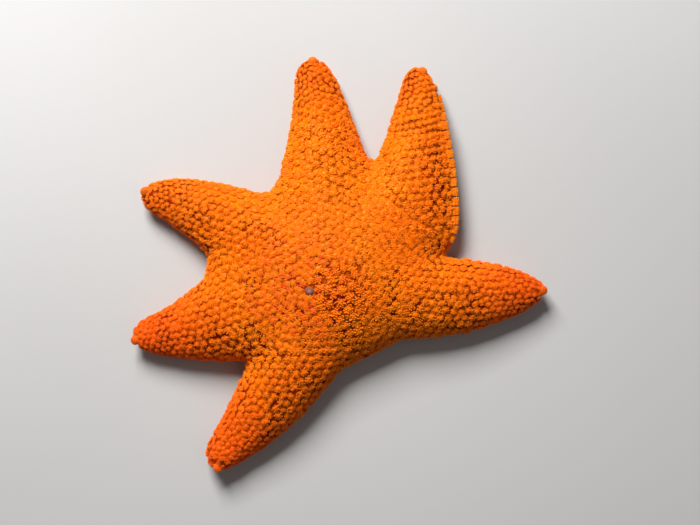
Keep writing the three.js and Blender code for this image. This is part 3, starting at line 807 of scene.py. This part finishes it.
@functools.lru_cache(maxsize=1)
def markings():
    """The markings that skin and coat share, as a node group: a colour for every place on the animal."""
    tree = bpy.data.node_groups.new("starfish_markings", "ShaderNodeTree")
    tree.interface.new_socket("Colour", in_out="OUTPUT", socket_type="NodeSocketColor")
    n = Nodes(tree)
    colour = n.mixed(n.times(n.eased(n.noise(70), 0.40, 0.62), 0.55), linear("orange"), linear("yellow"))
    for arms, full, none, share in RED_TIPS:
        for index in arms:
            tip = on_arm(ARMS[index], np.array(1.0), np.array(0.0))
            colour = n.mixed(n.times(n.near((*tip, TIP_HEIGHT), full, none), share), colour, linear("red"))
    grains = n.times(n.eased(n.noise(620, 1.0), 0.50, 0.62),
                     n.near(SPECKLED["place"], SPECKLED["full"], SPECKLED["none"]))
    colour = n.mixed(n.times(grains, SPECKLED["share"]), colour, linear("speckle"))
    colour = n.mixed(n.eased(n.height(), 0.0022, 0.0007, 0.0, 0.7), colour, linear("underside"))
    n.add("NodeGroupOutput", {"Colour": colour})
    return tree


def finish(build):
    """Makes a material once, named after the function that says what its Principled shader's sockets get.

    That function is given the nodes, and returns links and fixed values by the sockets' names.
    """
    @functools.lru_cache(maxsize=1)
    def made():
        material = bpy.data.materials.new(build.__name__)
        material.use_nodes = True
        n = Nodes(material.node_tree)
        shader = material.node_tree.nodes["Principled BSDF"]
        for key, value in build(n).items():
            n.put(shader.inputs[key], value)
        return material
    return made


@finish
def moist_skin(n):
    """Moist skin between the beads: the markings, deepened to red brown in the pits, partly the papulae's own
    red and partly painted shade between the beads.
    """
    # painted shade: the skin darkens to the gaps' red brown, standing in for the shade between the beads
    pits_and_shade = n.times(n.eased(n.noise(900, 1.0), 0.42, 0.60, 0.75, 1.0), n.pits_and_painted_shade())
    return {"Base Color": n.mixed(pits_and_shade, n.marked(), linear("gaps")), "Roughness": n.varied(500, 0.6, 0.8),
            "Normal": n.bumped(1500, 3.0, 0.5, 0.0002), "Specular IOR Level": 0.04,
            "Subsurface Weight": 0.1, "Subsurface Radius": (1.0, 0.35, 0.12), "Subsurface Scale": 0.0006}


@finish
def beaded_coat(n):
    """Limy beads under thin skin: the markings, darker at the foot with painted shade in the gaps' red brown,
    paler at the spinelets' ends.
    """
    out, gaps = n.attribute("out"), linear("gaps")
    colour = n.mixed(n.times(n.attribute("pale"), 0.6), n.marked(), linear("edge"))
    colour = n.mixed(n.eased(n.attribute("tone"), 0.0, 1.0, 0.0, 0.16), colour, gaps)
    # painted shade: where out is low, at the foot of a bead, plate or spine, the colour darkens to the gaps'
    # red brown
    colour = n.mixed(n.times(n.eased(out, 0.48, 0.10), n.pits_and_painted_shade()), colour, gaps)
    colour = n.mixed(n.eased(out, 0.76, 1.0, 0.0, 0.22), colour, linear("ends"))
    return {"Base Color": colour, "Roughness": n.varied(800, 0.42, 0.60),
            "Normal": n.bumped(2600, 2.0, 0.25, 0.0001), "Specular IOR Level": 0.15,
            "Subsurface Weight": 0.12, "Subsurface Radius": (1.0, 0.35, 0.10), "Subsurface Scale": 0.0003}


@finish
def grooved_sieve(n):
    """The madreporite: dull grey mauve, darker in its grooves as painted shade, and darker in random patches.
    """
    dark = linear("sieve_dark")
    # painted shade: the grooves between the ridges, where out is low, take the dark colour
    colour = n.mixed(n.eased(n.attribute("out"), 0.2, 0.9), dark, linear("sieve"))
    return {"Base Color": n.mixed(n.times(n.noise(2500), 0.25), colour, dark), "Roughness": 0.75,
            "Normal": n.bumped(4000, 2.0, 0.3, 0.0001)}


@finish
def limy_plate(n):
    """Bare limy plates: the markings, greyer and paler in places, with a fine grain."""
    return {"Base Color": n.mixed(n.varied(900, 0.15, 0.45), n.marked(), linear("plates")),
            "Roughness": n.varied(1200, 0.38, 0.58), "Normal": n.bumped(3000, 3.0, 0.3, 0.0001),
            "Subsurface Weight": 0.12, "Subsurface Radius": (1.0, 0.5, 0.25), "Subsurface Scale": 0.0005}


@finish
def tube_foot_skin(n):
    """Tube feet: thin-skinned and pale yellow, with a denser sucker."""
    return {"Base Color": n.mixed(n.eased(n.attribute("out"), 0.7, 1.0), linear("feet"), linear("ends")),
            "Roughness": 0.35, "Normal": n.bumped(2400, 2.0, 0.3, 0.0001), "Subsurface Weight": 0.35,
            "Subsurface Radius": (1.0, 0.6, 0.3), "Subsurface Scale": 0.0008}


@finish
def pale_floor(n):
    """The plain floor, between two close greys."""
    return {"Base Color": n.mixed(n.eased(n.noise(6), 0.3, 0.7), FLOOR_DARK, FLOOR_PALE), "Roughness": 0.85}


# ---- The user's sizes and colours -----------------------------------------------------------------------

def length_property(name, description, millimetres):
    return FloatProperty(name=name, description=description, default=millimetres * MM, unit="LENGTH",
                         precision=5)


def colour_property(name, description, *default):
    return FloatVectorProperty(name=name, description=description, default=default, subtype="COLOR_GAMMA",
                               min=0, max=1, size=3)


class StarfishSizes(bpy.types.PropertyGroup):
    """Sizes of the coat."""
    coat_depth: length_property("Coat depth", "From the skin to the spinelets' ends", 0.75)
    bead_pitch: length_property("Bead pitch", "From one bead of the back to the next", 2.0)
    under_pitch: length_property("Underside pitch", "From one tuft of the underside to the next", 1.7)
    edge_pitch: length_property("Edge plate pitch", "From one plate of the flange to the next", 2.3)
    evening: IntProperty(name="Evening", description="Rounds that even out the beads' places",
                         default=4, min=0)


class StarfishColours(bpy.types.PropertyGroup):
    """Colours of skin, coat and plates, as a screen shows them."""
    orange: colour_property("Orange", "Most of the back", 1.0, 0.495, 0.0)
    yellow: colour_property("Yellow orange", "Lighter clouds on the back", 1.0, 0.55, 0.0)
    red: colour_property("Red orange", "The arms' tips", 1.0, 0.37, 0.02)
    speckle: colour_property("Speckle", "Pinkish red grains round the middle", 1.0, 0.38, 0.12)
    # the gaps' colour is the papulae's red brown and also the painted shade between and at the foot of the
    # beads
    gaps: colour_property("Gaps", "Between the beads", 0.50, 0.06, 0.01)
    ends: colour_property("Ends", "The spinelets' ends", 1.0, 0.62, 0.12)
    edge: colour_property("Edge", "The plates along the flange", 1.0, 0.56, 0.04)
    underside: colour_property("Underside", "The surface that faces the ground", 0.98, 0.66, 0.32)
    sieve: colour_property("Madreporite", "Its ridges", 0.64, 0.40, 0.33)
    # the grooves' colour is painted shade between the ridges, and also darkens random patches
    sieve_dark: colour_property("Madreporite grooves", "Between its ridges", 0.26, 0.10, 0.06)
    plates: colour_property("Plates", "The jaws", 0.80, 0.46, 0.26)
    feet: colour_property("Tube feet", "Their stalks", 0.96, 0.74, 0.42)


class StarfishStage(bpy.types.PropertyGroup):
    """The camera and the light."""
    elevation: FloatProperty(name="Elevation", description="Camera's height above the horizon",
                             default=math.radians(88), subtype="ANGLE")
    distance: FloatProperty(name="Distance", description="From the camera to what it looks at",
                            default=282 * MM, unit="LENGTH")
    lens: FloatProperty(name="Lens", description="Focal length", default=60, unit="CAMERA")
    key: FloatProperty(name="Key light", description="Power of the main light", default=3.8, unit="POWER")
    fill: FloatProperty(name="Fill light", description="Power of the second light", default=0.12,
                        unit="POWER")
    room: FloatProperty(name="Room", description="Strength of the light from all round", default=0.10)


# ---- Pieces ---------------------------------------------------------------------------------------------

class StarfishSkin(bpy.types.Operator):
    """The one closed skin: the body drawn in by the coat's depth, with its grooves and mouth."""
    bl_idname = "starfish.skin"
    bl_label = "Skin"

    def execute(self, context):
        points, _, triangles, corners, _ = skin()
        put_piece("skin", points, triangles, moist_skin(), uv=corners,
                  replaced=["disc"] + [f"arm_{i + 1}" for i in range(len(ARMS))])
        return {"FINISHED"}


def put_tufts(name, layout, shapes, triangles, out, pitch, pale, rng):
    """Beads at their roots in one mesh per arm and two for the disc, each as wide as its neighbours leave
    it, with its own patch of the unwrap and its own tone."""
    roots, normals, spots = layout
    p = survey(roots)
    group = np.where(p["share"] < DISC_SHARE, len(ARMS) + (roots[:, 0] > 0), p["own"])
    reach = np.abs(shapes[..., :2]).max()
    room = np.clip(spacing(roots) / pitch, *ROOM)
    for index, place in enumerate([*range(1, len(ARMS) + 1), "disc_left", "disc_right"]):
        mine = group == index
        count = int(mine.sum())
        if not count:
            raise RuntimeError(f"{name} has no beads at {place}")
        axes = frames_along(normals[mine], rng.random(count) * 2 * np.pi)
        scale = room[mine] * np.clip(rng.normal(1, BEAD_SPREAD["size"], count), BEAD_SPREAD["least"],
                                     BEAD_SPREAD["most"])
        points, faces, local = set_out(shapes[mine], triangles, roots[mine], axes, scale)
        points[:, 2] = np.maximum(points[:, 2], FLOOR_CLEARANCE)
        put_piece(f"{name}_{place}", points, faces, beaded_coat(),
                  uv=patches(spots[mine], local, reach, faces),
                  layers=bead_layers(out, rng.random(count), pale))


def on_flange_edge(p, reach):
    """Whether points lie within reach of the bent arm's free right edge, where the edge plates stand."""
    edge = p["edge"]
    return ((p["own"] == FLANGE_ARM) & (edge["d"] < 0) & (edge["s"] > EDGE_PLATE["start"])
            & (edge["half"] - np.abs(edge["d"]) < reach) & (edge["s"] < EDGE_PLATE["end"]))


def skin_middles():
    """The middles of the skin's triangles, whether each is on the back, and their survey."""
    points, _, triangles, _, back = skin()
    centres = points[triangles].mean(axis=1)
    return centres, back, survey(centres)


class StarfishBack(bpy.types.Operator):
    """The back's beads: mounds crowned with spinelets, in rows along the arms. They are flatter on the
    disc, and many are in the smooth zone."""
    bl_idname = "starfish.back"
    bl_label = "Beads of the back"

    def execute(self, context):
        rng, pitch = np.random.default_rng(SEED), size("bead_pitch")
        centres, back, p = skin_middles()
        sieve = node_centre("madreporite")[0] + [0, SIEVE_CLEAR["shift"], 0]
        clear = np.hypot(*(centres - sieve)[:, :2].T) > SIEVE_CLEAR["radius"]
        chosen = back & clear & ~on_flange_edge(p, EDGE_PLATE["above"])
        layout = laid_out(chosen, pitch, True, rng)
        domed, faces, out = tufts(pitch, rng, **DOMED)
        flatter = tufts(pitch, rng, **FLATTER)[0]
        roots = layout[0]
        share = survey(roots)["share"]
        lowered = share + rng.normal(0, DISC_EDGE_SPREAD, len(roots)) < DISC_SHARE
        aside = np.hypot(roots[:, 0] - SMOOTH["x"], roots[:, 1] - SMOOTH["y"])
        smooth = SMOOTH["share"] * (1 - smoothstep(aside, SMOOTH["full"], SMOOTH["none"]))
        lowered |= (rng.random(len(roots)) < smooth) & (share < SMOOTH["end"])
        which = rng.integers(len(domed), size=len(roots)) + len(domed) * lowered
        put_tufts("coat_back", layout, np.concatenate([domed, flatter])[which], faces, out, pitch, 0, rng)
        return {"FINISHED"}


class StarfishUnderside(bpy.types.Operator):
    """The underside's tufts: lower domes with fewer, longer spinelets, clear of the grooves and mouth."""
    bl_idname = "starfish.underside"
    bl_label = "Tufts of the underside"

    def execute(self, context):
        rng, pitch = np.random.default_rng(SEED + 1), size("under_pitch")
        _, back, p = skin_middles()
        end = GROOVE["fade_to"] - UNDER_CLEAR["tip"]
        aside = np.min([np.where((a["s"] > 0) & (a["s"] < end), np.abs(a["d"]), np.inf)
                        for a in p["arms"]], axis=0)
        chosen = (~back & (aside > GROOVE_HALF + UNDER_CLEAR["groove"])
                  & (p["radius"] > MOUTH["radius"] + UNDER_CLEAR["mouth"])
                  & ~on_flange_edge(p, EDGE_PLATE["below"]))
        layout = laid_out(chosen, pitch, False, rng)
        shapes, faces, out = tufts(pitch, rng, **UNDER_TUFT)
        which = rng.integers(len(shapes), size=len(layout[0]))
        put_tufts("coat_under", layout, shapes[which], faces, out, pitch, 0.5, rng)
        return {"FINISHED"}


def cushion(half, power, around, down):
    """A closed superellipsoid: cos and sin of two angles, each raised to a power, its sign kept."""
    v = np.linspace(-np.pi / 2, np.pi / 2, down + 1)
    points, triangles = lathe(bent(polar(1, v), power), around)
    turn = np.arctan2(points[:, 1], points[:, 0])
    plan = np.hypot(points[:, 0], points[:, 1])[:, None] * bent(polar(1, turn), power)
    return raised(plan, points[:, 2]) * half, triangles


def fringe(rng, wide, deep, thick):
    """Feet and directions of an edge plate's spinelets, in rows from its outer side inwards over its top."""
    side, top = np.linspace(-0.86, 0.86, 7)[:, None], np.linspace(-0.8, 0.8, 6)[:, None]
    feet, ways = [], []
    for up in np.radians(FRINGE_ANGLES):
        feet.append(raised(raised(side, 0.88 * math.cos(up)), 0.88 * math.sin(up)))
        ways.append(raised(raised(0.3 * side, math.cos(up)), math.sin(up)))
    for y, narrowing in FRINGE_TOP:
        feet.append(raised(raised(narrowing * top, y), 0.86))
        ways.append(raised(raised(0.25 * narrowing * top, 0.1), 1))
    feet, ways = np.concatenate(feet) * [wide, deep, thick], np.concatenate(ways)
    return (feet + rng.normal(0, FRINGE_SPREAD["feet"], feet.shape),
            ways + rng.normal(0, FRINGE_SPREAD["ways"], ways.shape))


class StarfishEdgePlates(bpy.types.Operator):
    """The plates along the flange: rounded blocks at an even pitch, each with a fringe of spinelets."""
    bl_idname = "starfish.edge_plates"
    bl_label = "Edge plates of the flange"

    def execute(self, context):
        rng, pitch = np.random.default_rng(SEED + 2), size("edge_pitch")
        arm = ARMS[FLANGE_ARM]
        start = float(place_on_arm(arm, axils()[FLANGE_ARM - 1])["s"]) + 0.005
        line = margin_points(arm, np.linspace(start, EDGE_PLATE["end"], EDGE_STEPS), -1)
        run = np.concatenate([[0], np.cumsum(np.linalg.norm(np.diff(line, axis=0), axis=1))])
        count = int(run[-1] / pitch)
        at = (np.arange(count) + EDGE_FIRST) * run[-1] / count
        place, ahead = (np.stack([np.interp(at + step, run, line[:, k]) for k in range(2)], axis=1)
                        for step in (0, EDGE_AHEAD))
        ahead = (ahead - place) / np.linalg.norm(ahead - place, axis=1, keepdims=True)
        outward = np.stack([ahead[:, 1], -ahead[:, 0]], axis=1)
        height = margin_height(survey(place - EDGE_INSET * outward))
        half = np.array([EDGE_PLATE["wide"] * pitch, EDGE_PLATE["deep"], EDGE_PLATE["thick"]])
        block = cushion(half, EDGE_PLATE["power"], *EDGE_PLATE["sides"])
        rod, rod_faces = lathe(SPINELET * [EDGE_PLATE["rod"], EDGE_PLATE["length"]], EDGE_PLATE["rod_sides"])
        feet, ways = fringe(rng, *half)
        rods = set_out(rod, rod_faces, feet, frames_along(ways),
                       1 + rng.normal(0, FRINGE_SPREAD["rods"], len(feet)))
        shape, shape_faces = joined(block, rods[:2])
        # The block's low out values give it the coat's painted shade, deepest at its foot.
        out = np.concatenate([outwards(block[0][:, 2], 1, 0.12, 0.37),
                              np.tile(outwards(rod[:, 2], EDGE_PLATE["length"], 0.5, 1), len(feet))])
        roots = raised(place - (EDGE_PLATE["deep"] - EDGE_PLATE["sunk"]) * outward, height)
        second, third = raised(outward, 0.0), np.broadcast_to([0.0, 0.0, 1.0], (count, 3))
        axes = np.stack([np.cross(second, third), second, third], axis=1)
        spread = rng.normal(0, PLATE_SPREAD["size"], count).clip(PLATE_SPREAD["least"], PLATE_SPREAD["most"])
        points, triangles, local = set_out(shape, shape_faces, roots, axes, 1 + spread)
        put_piece("edge_plates", points, triangles, beaded_coat(),
                  uv=patches(unwrap_places(roots, True), local, pitch, triangles),
                  layers=bead_layers(out, rng.random(count), 1))
        return {"FINISHED"}


def along_grooves(pitch, first, last, insets):
    """Pairs of places along every groove, one on each side, at each distance from its middle."""
    runs = [np.repeat(np.arange(first, last * arm["reach"], pitch) / arm["reach"], 2) for arm in ARMS]
    sides = [np.resize([-1.0, 1.0], len(run)) for run in runs]
    return [np.concatenate([on_arm(arm, run, inset * side) for arm, run, side in zip(ARMS, runs, sides)])
            for inset in insets]


class StarfishTubeFeet(bpy.types.Operator):
    """Two rows of tube feet in every groove: a stalk that narrows, then a sucker, leaning a little."""
    bl_idname = "starfish.tube_feet"
    bl_label = "Tube feet"

    def execute(self, context):
        rng = np.random.default_rng(SEED + 3)
        plan, = along_grooves(TUBE_FOOT["pitch"], TUBE_FOOT["first"], TUBE_FOOT["last"], [TUBE_FOOT["aside"]])
        roof = size("coat_depth") + groove_depth(survey(plan)) + TUBE_FOOT["sunk"]
        shape, faces = lathe(TUBE_PROFILE * [TUBE_FOOT["radius"], 1.0], 10)
        count, level = len(plan), shape[:, 2]
        lean = rng.normal(0, TUBE_FOOT["lean"], (count, 2))
        points = raised(plan[:, None] + shape[:, :2] * [1, -1] + lean[:, None] * level[:, None] ** 2,
                        roof[:, None] - (roof - TUBE_FOOT["clear"])[:, None] * level)
        faces = joined(*[(shape, faces)] * count)[1]
        spots = unwrap_places(raised(plan, roof), False)
        put_piece("tube_feet", points.reshape(-1, 3), faces, tube_foot_skin(),
                  uv=patches(spots, np.broadcast_to(shape, (count, *shape.shape)), 0.5, faces),
                  layers=dict(out=np.tile(level, count)))
        return {"FINISHED"}


class StarfishFurrowSpines(bpy.types.Operator):
    """Short flat spines that guard each groove: pairs along its edges, leaning over the tube feet."""
    bl_idname = "starfish.furrow_spines"
    bl_label = "Spines along the grooves"

    def execute(self, context):
        rng = np.random.default_rng(SEED + 4)
        edge = GROOVE_HALF + SPINE["aside"]
        plan, inner = along_grooves(SPINE["pitch"], SPINE["first"], SPINE["last"], [edge, edge - 1])
        roots = raised(plan, floor_height(survey(plan)) + size("coat_depth"))
        way = raised(inner - plan + rng.normal(0, SPINE["lean"], plan.shape), SPINE["dip"])
        shape, faces = lathe(SPINE_PROFILE * [SPINE["radius"], SPINE["length"]], 6)
        points, triangles, local = set_out(shape, faces, roots, frames_along(way),
                                           1 + rng.normal(0, SPINE["size"], len(roots)))
        points[:, 2] = np.maximum(points[:, 2], SPINE["clear"])
        out = outwards(shape[:, 2], SPINE["length"], DOME_TOP, 0.95)
        put_piece("furrow_spines", points, triangles, beaded_coat(),
                  uv=patches(unwrap_places(roots, False), local, 0.2, triangles),
                  layers=bead_layers(out, rng.random(len(roots)), 0.6))
        return {"FINISHED"}


class StarfishMouth(bpy.types.Operator):
    """The jaws: a rounded ring round the mouth with one tooth on each web's ray and spines on the teeth."""
    bl_idname = "starfish.mouth"
    bl_label = "Jaws"

    def execute(self, context):
        centre, half = node_centre("jaws")
        outer, _, thick = half
        turn, section = (np.arange(count) * 2 * np.pi / count for count in JAW_GRID)
        off = np.abs((np.degrees(turn)[:, None] - WEB_ANGLES + 180) % 360 - 180).min(axis=1)
        inner = outer * lerp(JAW["tooth"], JAW["gap"], smoothstep(off, 0, JAW["half_angle"]))[:, None]
        radius = (outer + inner) / 2 + (outer - inner) / 2 * bent(np.cos(section), JAW["across"])
        ring = raised(polar(radius, turn[:, None]), centre[2] + thick * bent(np.sin(section), JAW["upright"]))
        angles = np.radians([web + aside for web in WEB_ANGLES for aside, _ in JAW_SPINES])
        start = outer * np.tile([share for _, share in JAW_SPINES], len(WEB_ANGLES))
        spine, spine_faces = lathe(JAW_PROFILE * [JAW["radius"], JAW["length"]], 8)
        spines, more, _ = set_out(spine, spine_faces, raised(polar(start, angles), centre[2] - JAW["sunk"]),
                                  frames_along(raised(-polar(1, angles), JAW["dip"])))
        spines[:, 2] = np.maximum(spines[:, 2], JAW["clear"])
        points, faces = joined((ring.reshape(-1, 3), grid_faces(*JAW_GRID, True, True)), (spines, more))
        put_piece("jaws_detailed", points, faces, limy_plate(), replaced=["jaws"])
        return {"FINISHED"}


class StarfishMadreporite(bpy.types.Operator):
    """The madreporite: an oval ball sunk in the back, folded into ridges that run out from its top."""
    bl_idname = "starfish.madreporite"
    bl_label = "Madreporite"

    def execute(self, context):
        centre, half = node_centre("madreporite")
        unit, faces = lathe(polar(1, np.linspace(np.pi / 2, -np.pi / 2, SIEVE["down"])), SIEVE["around"])
        faces = faces[:, ::-1]      # the profile runs downwards, so its faces are turned over
        u, v = np.arctan2(unit[:, 1], unit[:, 0]), np.arccos(unit[:, 2])
        fold = 0.5 + 0.5 * np.cos(SIEVE["ridges"] * u + 2.2 * np.sin(3 * v) + 1.2 * np.sin(2 * u))
        top = smoothstep(v, 0.15, 0.6) * (1 - smoothstep(v, 1.3, 1.7))
        points = unit * half * (1 - SIEVE["fold"] * (1 - fold) * top)[:, None] + centre
        # out is low in the grooves, which its finish paints in shade.
        out = lerp(1, fold, top)
        out[0], out[-1] = 0.7, 0.5
        put_piece("madreporite_detailed", points, faces, grooved_sieve(),
                  replaced=["madreporite"], layers=dict(out=out))
        return {"FINISHED"}


class StarfishTerminalPlates(bpy.types.Operator):
    """The plate that ends each arm: a cushion as thick as its node, set with low grains all round."""
    bl_idname = "starfish.terminal_plates"
    bl_label = "Terminal plates"

    def execute(self, context):
        grain, grain_faces = lathe(GRAIN_PROFILE * [END_GRAIN["radius"], END_GRAIN["length"]], 6)
        count = END_PLATE["grains"]
        level = 1 - 2 * (np.arange(count) + 0.5) / count
        turn = np.arange(count) * math.radians(END_GRAIN["turn"])
        way = raised(polar(np.sqrt(1 - level ** 2), turn), level)
        for index, arm in enumerate(ARMS):
            name = f"terminal_plate_{index + 1}"
            centre, half = node_centre(name)
            height = np.array([1, 1, half[2]])
            plate = cushion(height * END_PLATE["half"], END_PLATE["power"], *END_PLATE["sides"])
            set_in = height * END_PLATE["set_in"]
            grains = set_out(grain, grain_faces, way * set_in, frames_along(way / set_in))
            # The plate under the grains has a low out, so the coat paints it in shade.
            out = np.concatenate([np.full(len(plate[0]), 0.25),
                                  np.tile(outwards(grain[:, 2], END_GRAIN["length"], 0.5, 1), count)])
            shape, faces = joined(plate, grains[:2])
            plan = np.stack(turned(shape[:, 0], shape[:, 1], arm["heading"]), axis=1)
            put_piece(f"{name}_granular", raised(plan, shape[:, 2]) + centre, faces, beaded_coat(),
                      replaced=[name], layers=bead_layers(out, [0.5], 0.1))
        return {"FINISHED"}


def aimed(name, data, location, direction):
    """An object in the scene at a place, looking along a direction."""
    made = bpy.data.objects.new(name, data)
    made.location = location
    made.rotation_euler = direction.to_track_quat("-Z", "Y").to_euler()
    bpy.context.collection.objects.link(made)
    return made


class StarfishStageSet(bpy.types.Operator):
    """A plain pale floor, soft light from the upper left, and the camera that looks down."""
    bl_idname = "starfish.stage_set"
    bl_label = "Stage, light and camera"

    def execute(self, context):
        s = context.scene.starfish_stage
        mesh = bpy.data.meshes.new("floor")
        corners = [(x * FLOOR_HALF, y * FLOOR_HALF, 0) for x, y in ((-1, -1), (1, -1), (1, 1), (-1, 1))]
        mesh.from_pydata(corners, [], [(0, 1, 2, 3)])
        floor = bpy.data.objects.new("floor", mesh)
        context.collection.objects.link(floor)
        mesh.materials.append(pale_floor())
        for (name, place, width), power in ((KEY_LIGHT, s.key), (FILL_LIGHT, s.fill)):
            data = bpy.data.lights.new(name, "AREA")
            data.size, data.energy = width, power
            aimed(name, data, place, -Vector(place))
        world = bpy.data.worlds.new("room")
        world.use_nodes = True
        sky = world.node_tree.nodes["Background"]
        sky.inputs["Color"].default_value = ROOM_COLOUR
        sky.inputs["Strength"].default_value = s.room
        context.scene.world = world
        data = bpy.data.cameras.new("camera")
        data.lens, data.sensor_width = s.lens, SENSOR
        data.clip_start, data.clip_end = NEAREST, FARTHEST
        back = Vector((0, -math.cos(s.elevation), math.sin(s.elevation)))
        context.scene.camera = aimed("camera", data, Vector(TARGET) + s.distance * back, -back)
        context.scene.view_settings.view_transform = "Standard"
        return {"FINISHED"}


PIECES = (StarfishSkin, StarfishBack, StarfishUnderside, StarfishEdgePlates, StarfishTubeFeet,
          StarfishFurrowSpines, StarfishMouth, StarfishMadreporite, StarfishTerminalPlates, StarfishStageSet)
GROUPS = dict(starfish_sizes=StarfishSizes, starfish_colours=StarfishColours, starfish_stage=StarfishStage)


class StarfishPanel(bpy.types.Panel):
    """The starfish's pieces, sizes and colours in the sidebar."""
    bl_idname = "VIEW3D_PT_starfish"
    bl_label = "Starfish"
    bl_space_type = "VIEW_3D"
    bl_region_type = "UI"
    bl_category = "Starfish"

    def draw(self, context):
        for piece in PIECES:
            self.layout.operator(piece.bl_idname)
        for name, group in GROUPS.items():
            box = self.layout.box()
            for key in group.__annotations__:
                box.prop(getattr(context.scene, name), key)


def register():
    for kind in (*GROUPS.values(), *PIECES, StarfishPanel):
        bpy.utils.register_class(kind)
    for name, group in GROUPS.items():
        setattr(bpy.types.Scene, name, PointerProperty(type=group))


def unregister():
    for name in GROUPS:
        delattr(bpy.types.Scene, name)
    for kind in reversed((*GROUPS.values(), *PIECES, StarfishPanel)):
        bpy.utils.unregister_class(kind)


def main():
    register()
    for piece in PIECES:
        family, name = piece.bl_idname.split(".")
        getattr(getattr(bpy.ops, family), name)()


if __name__ == "__main__":
    main()
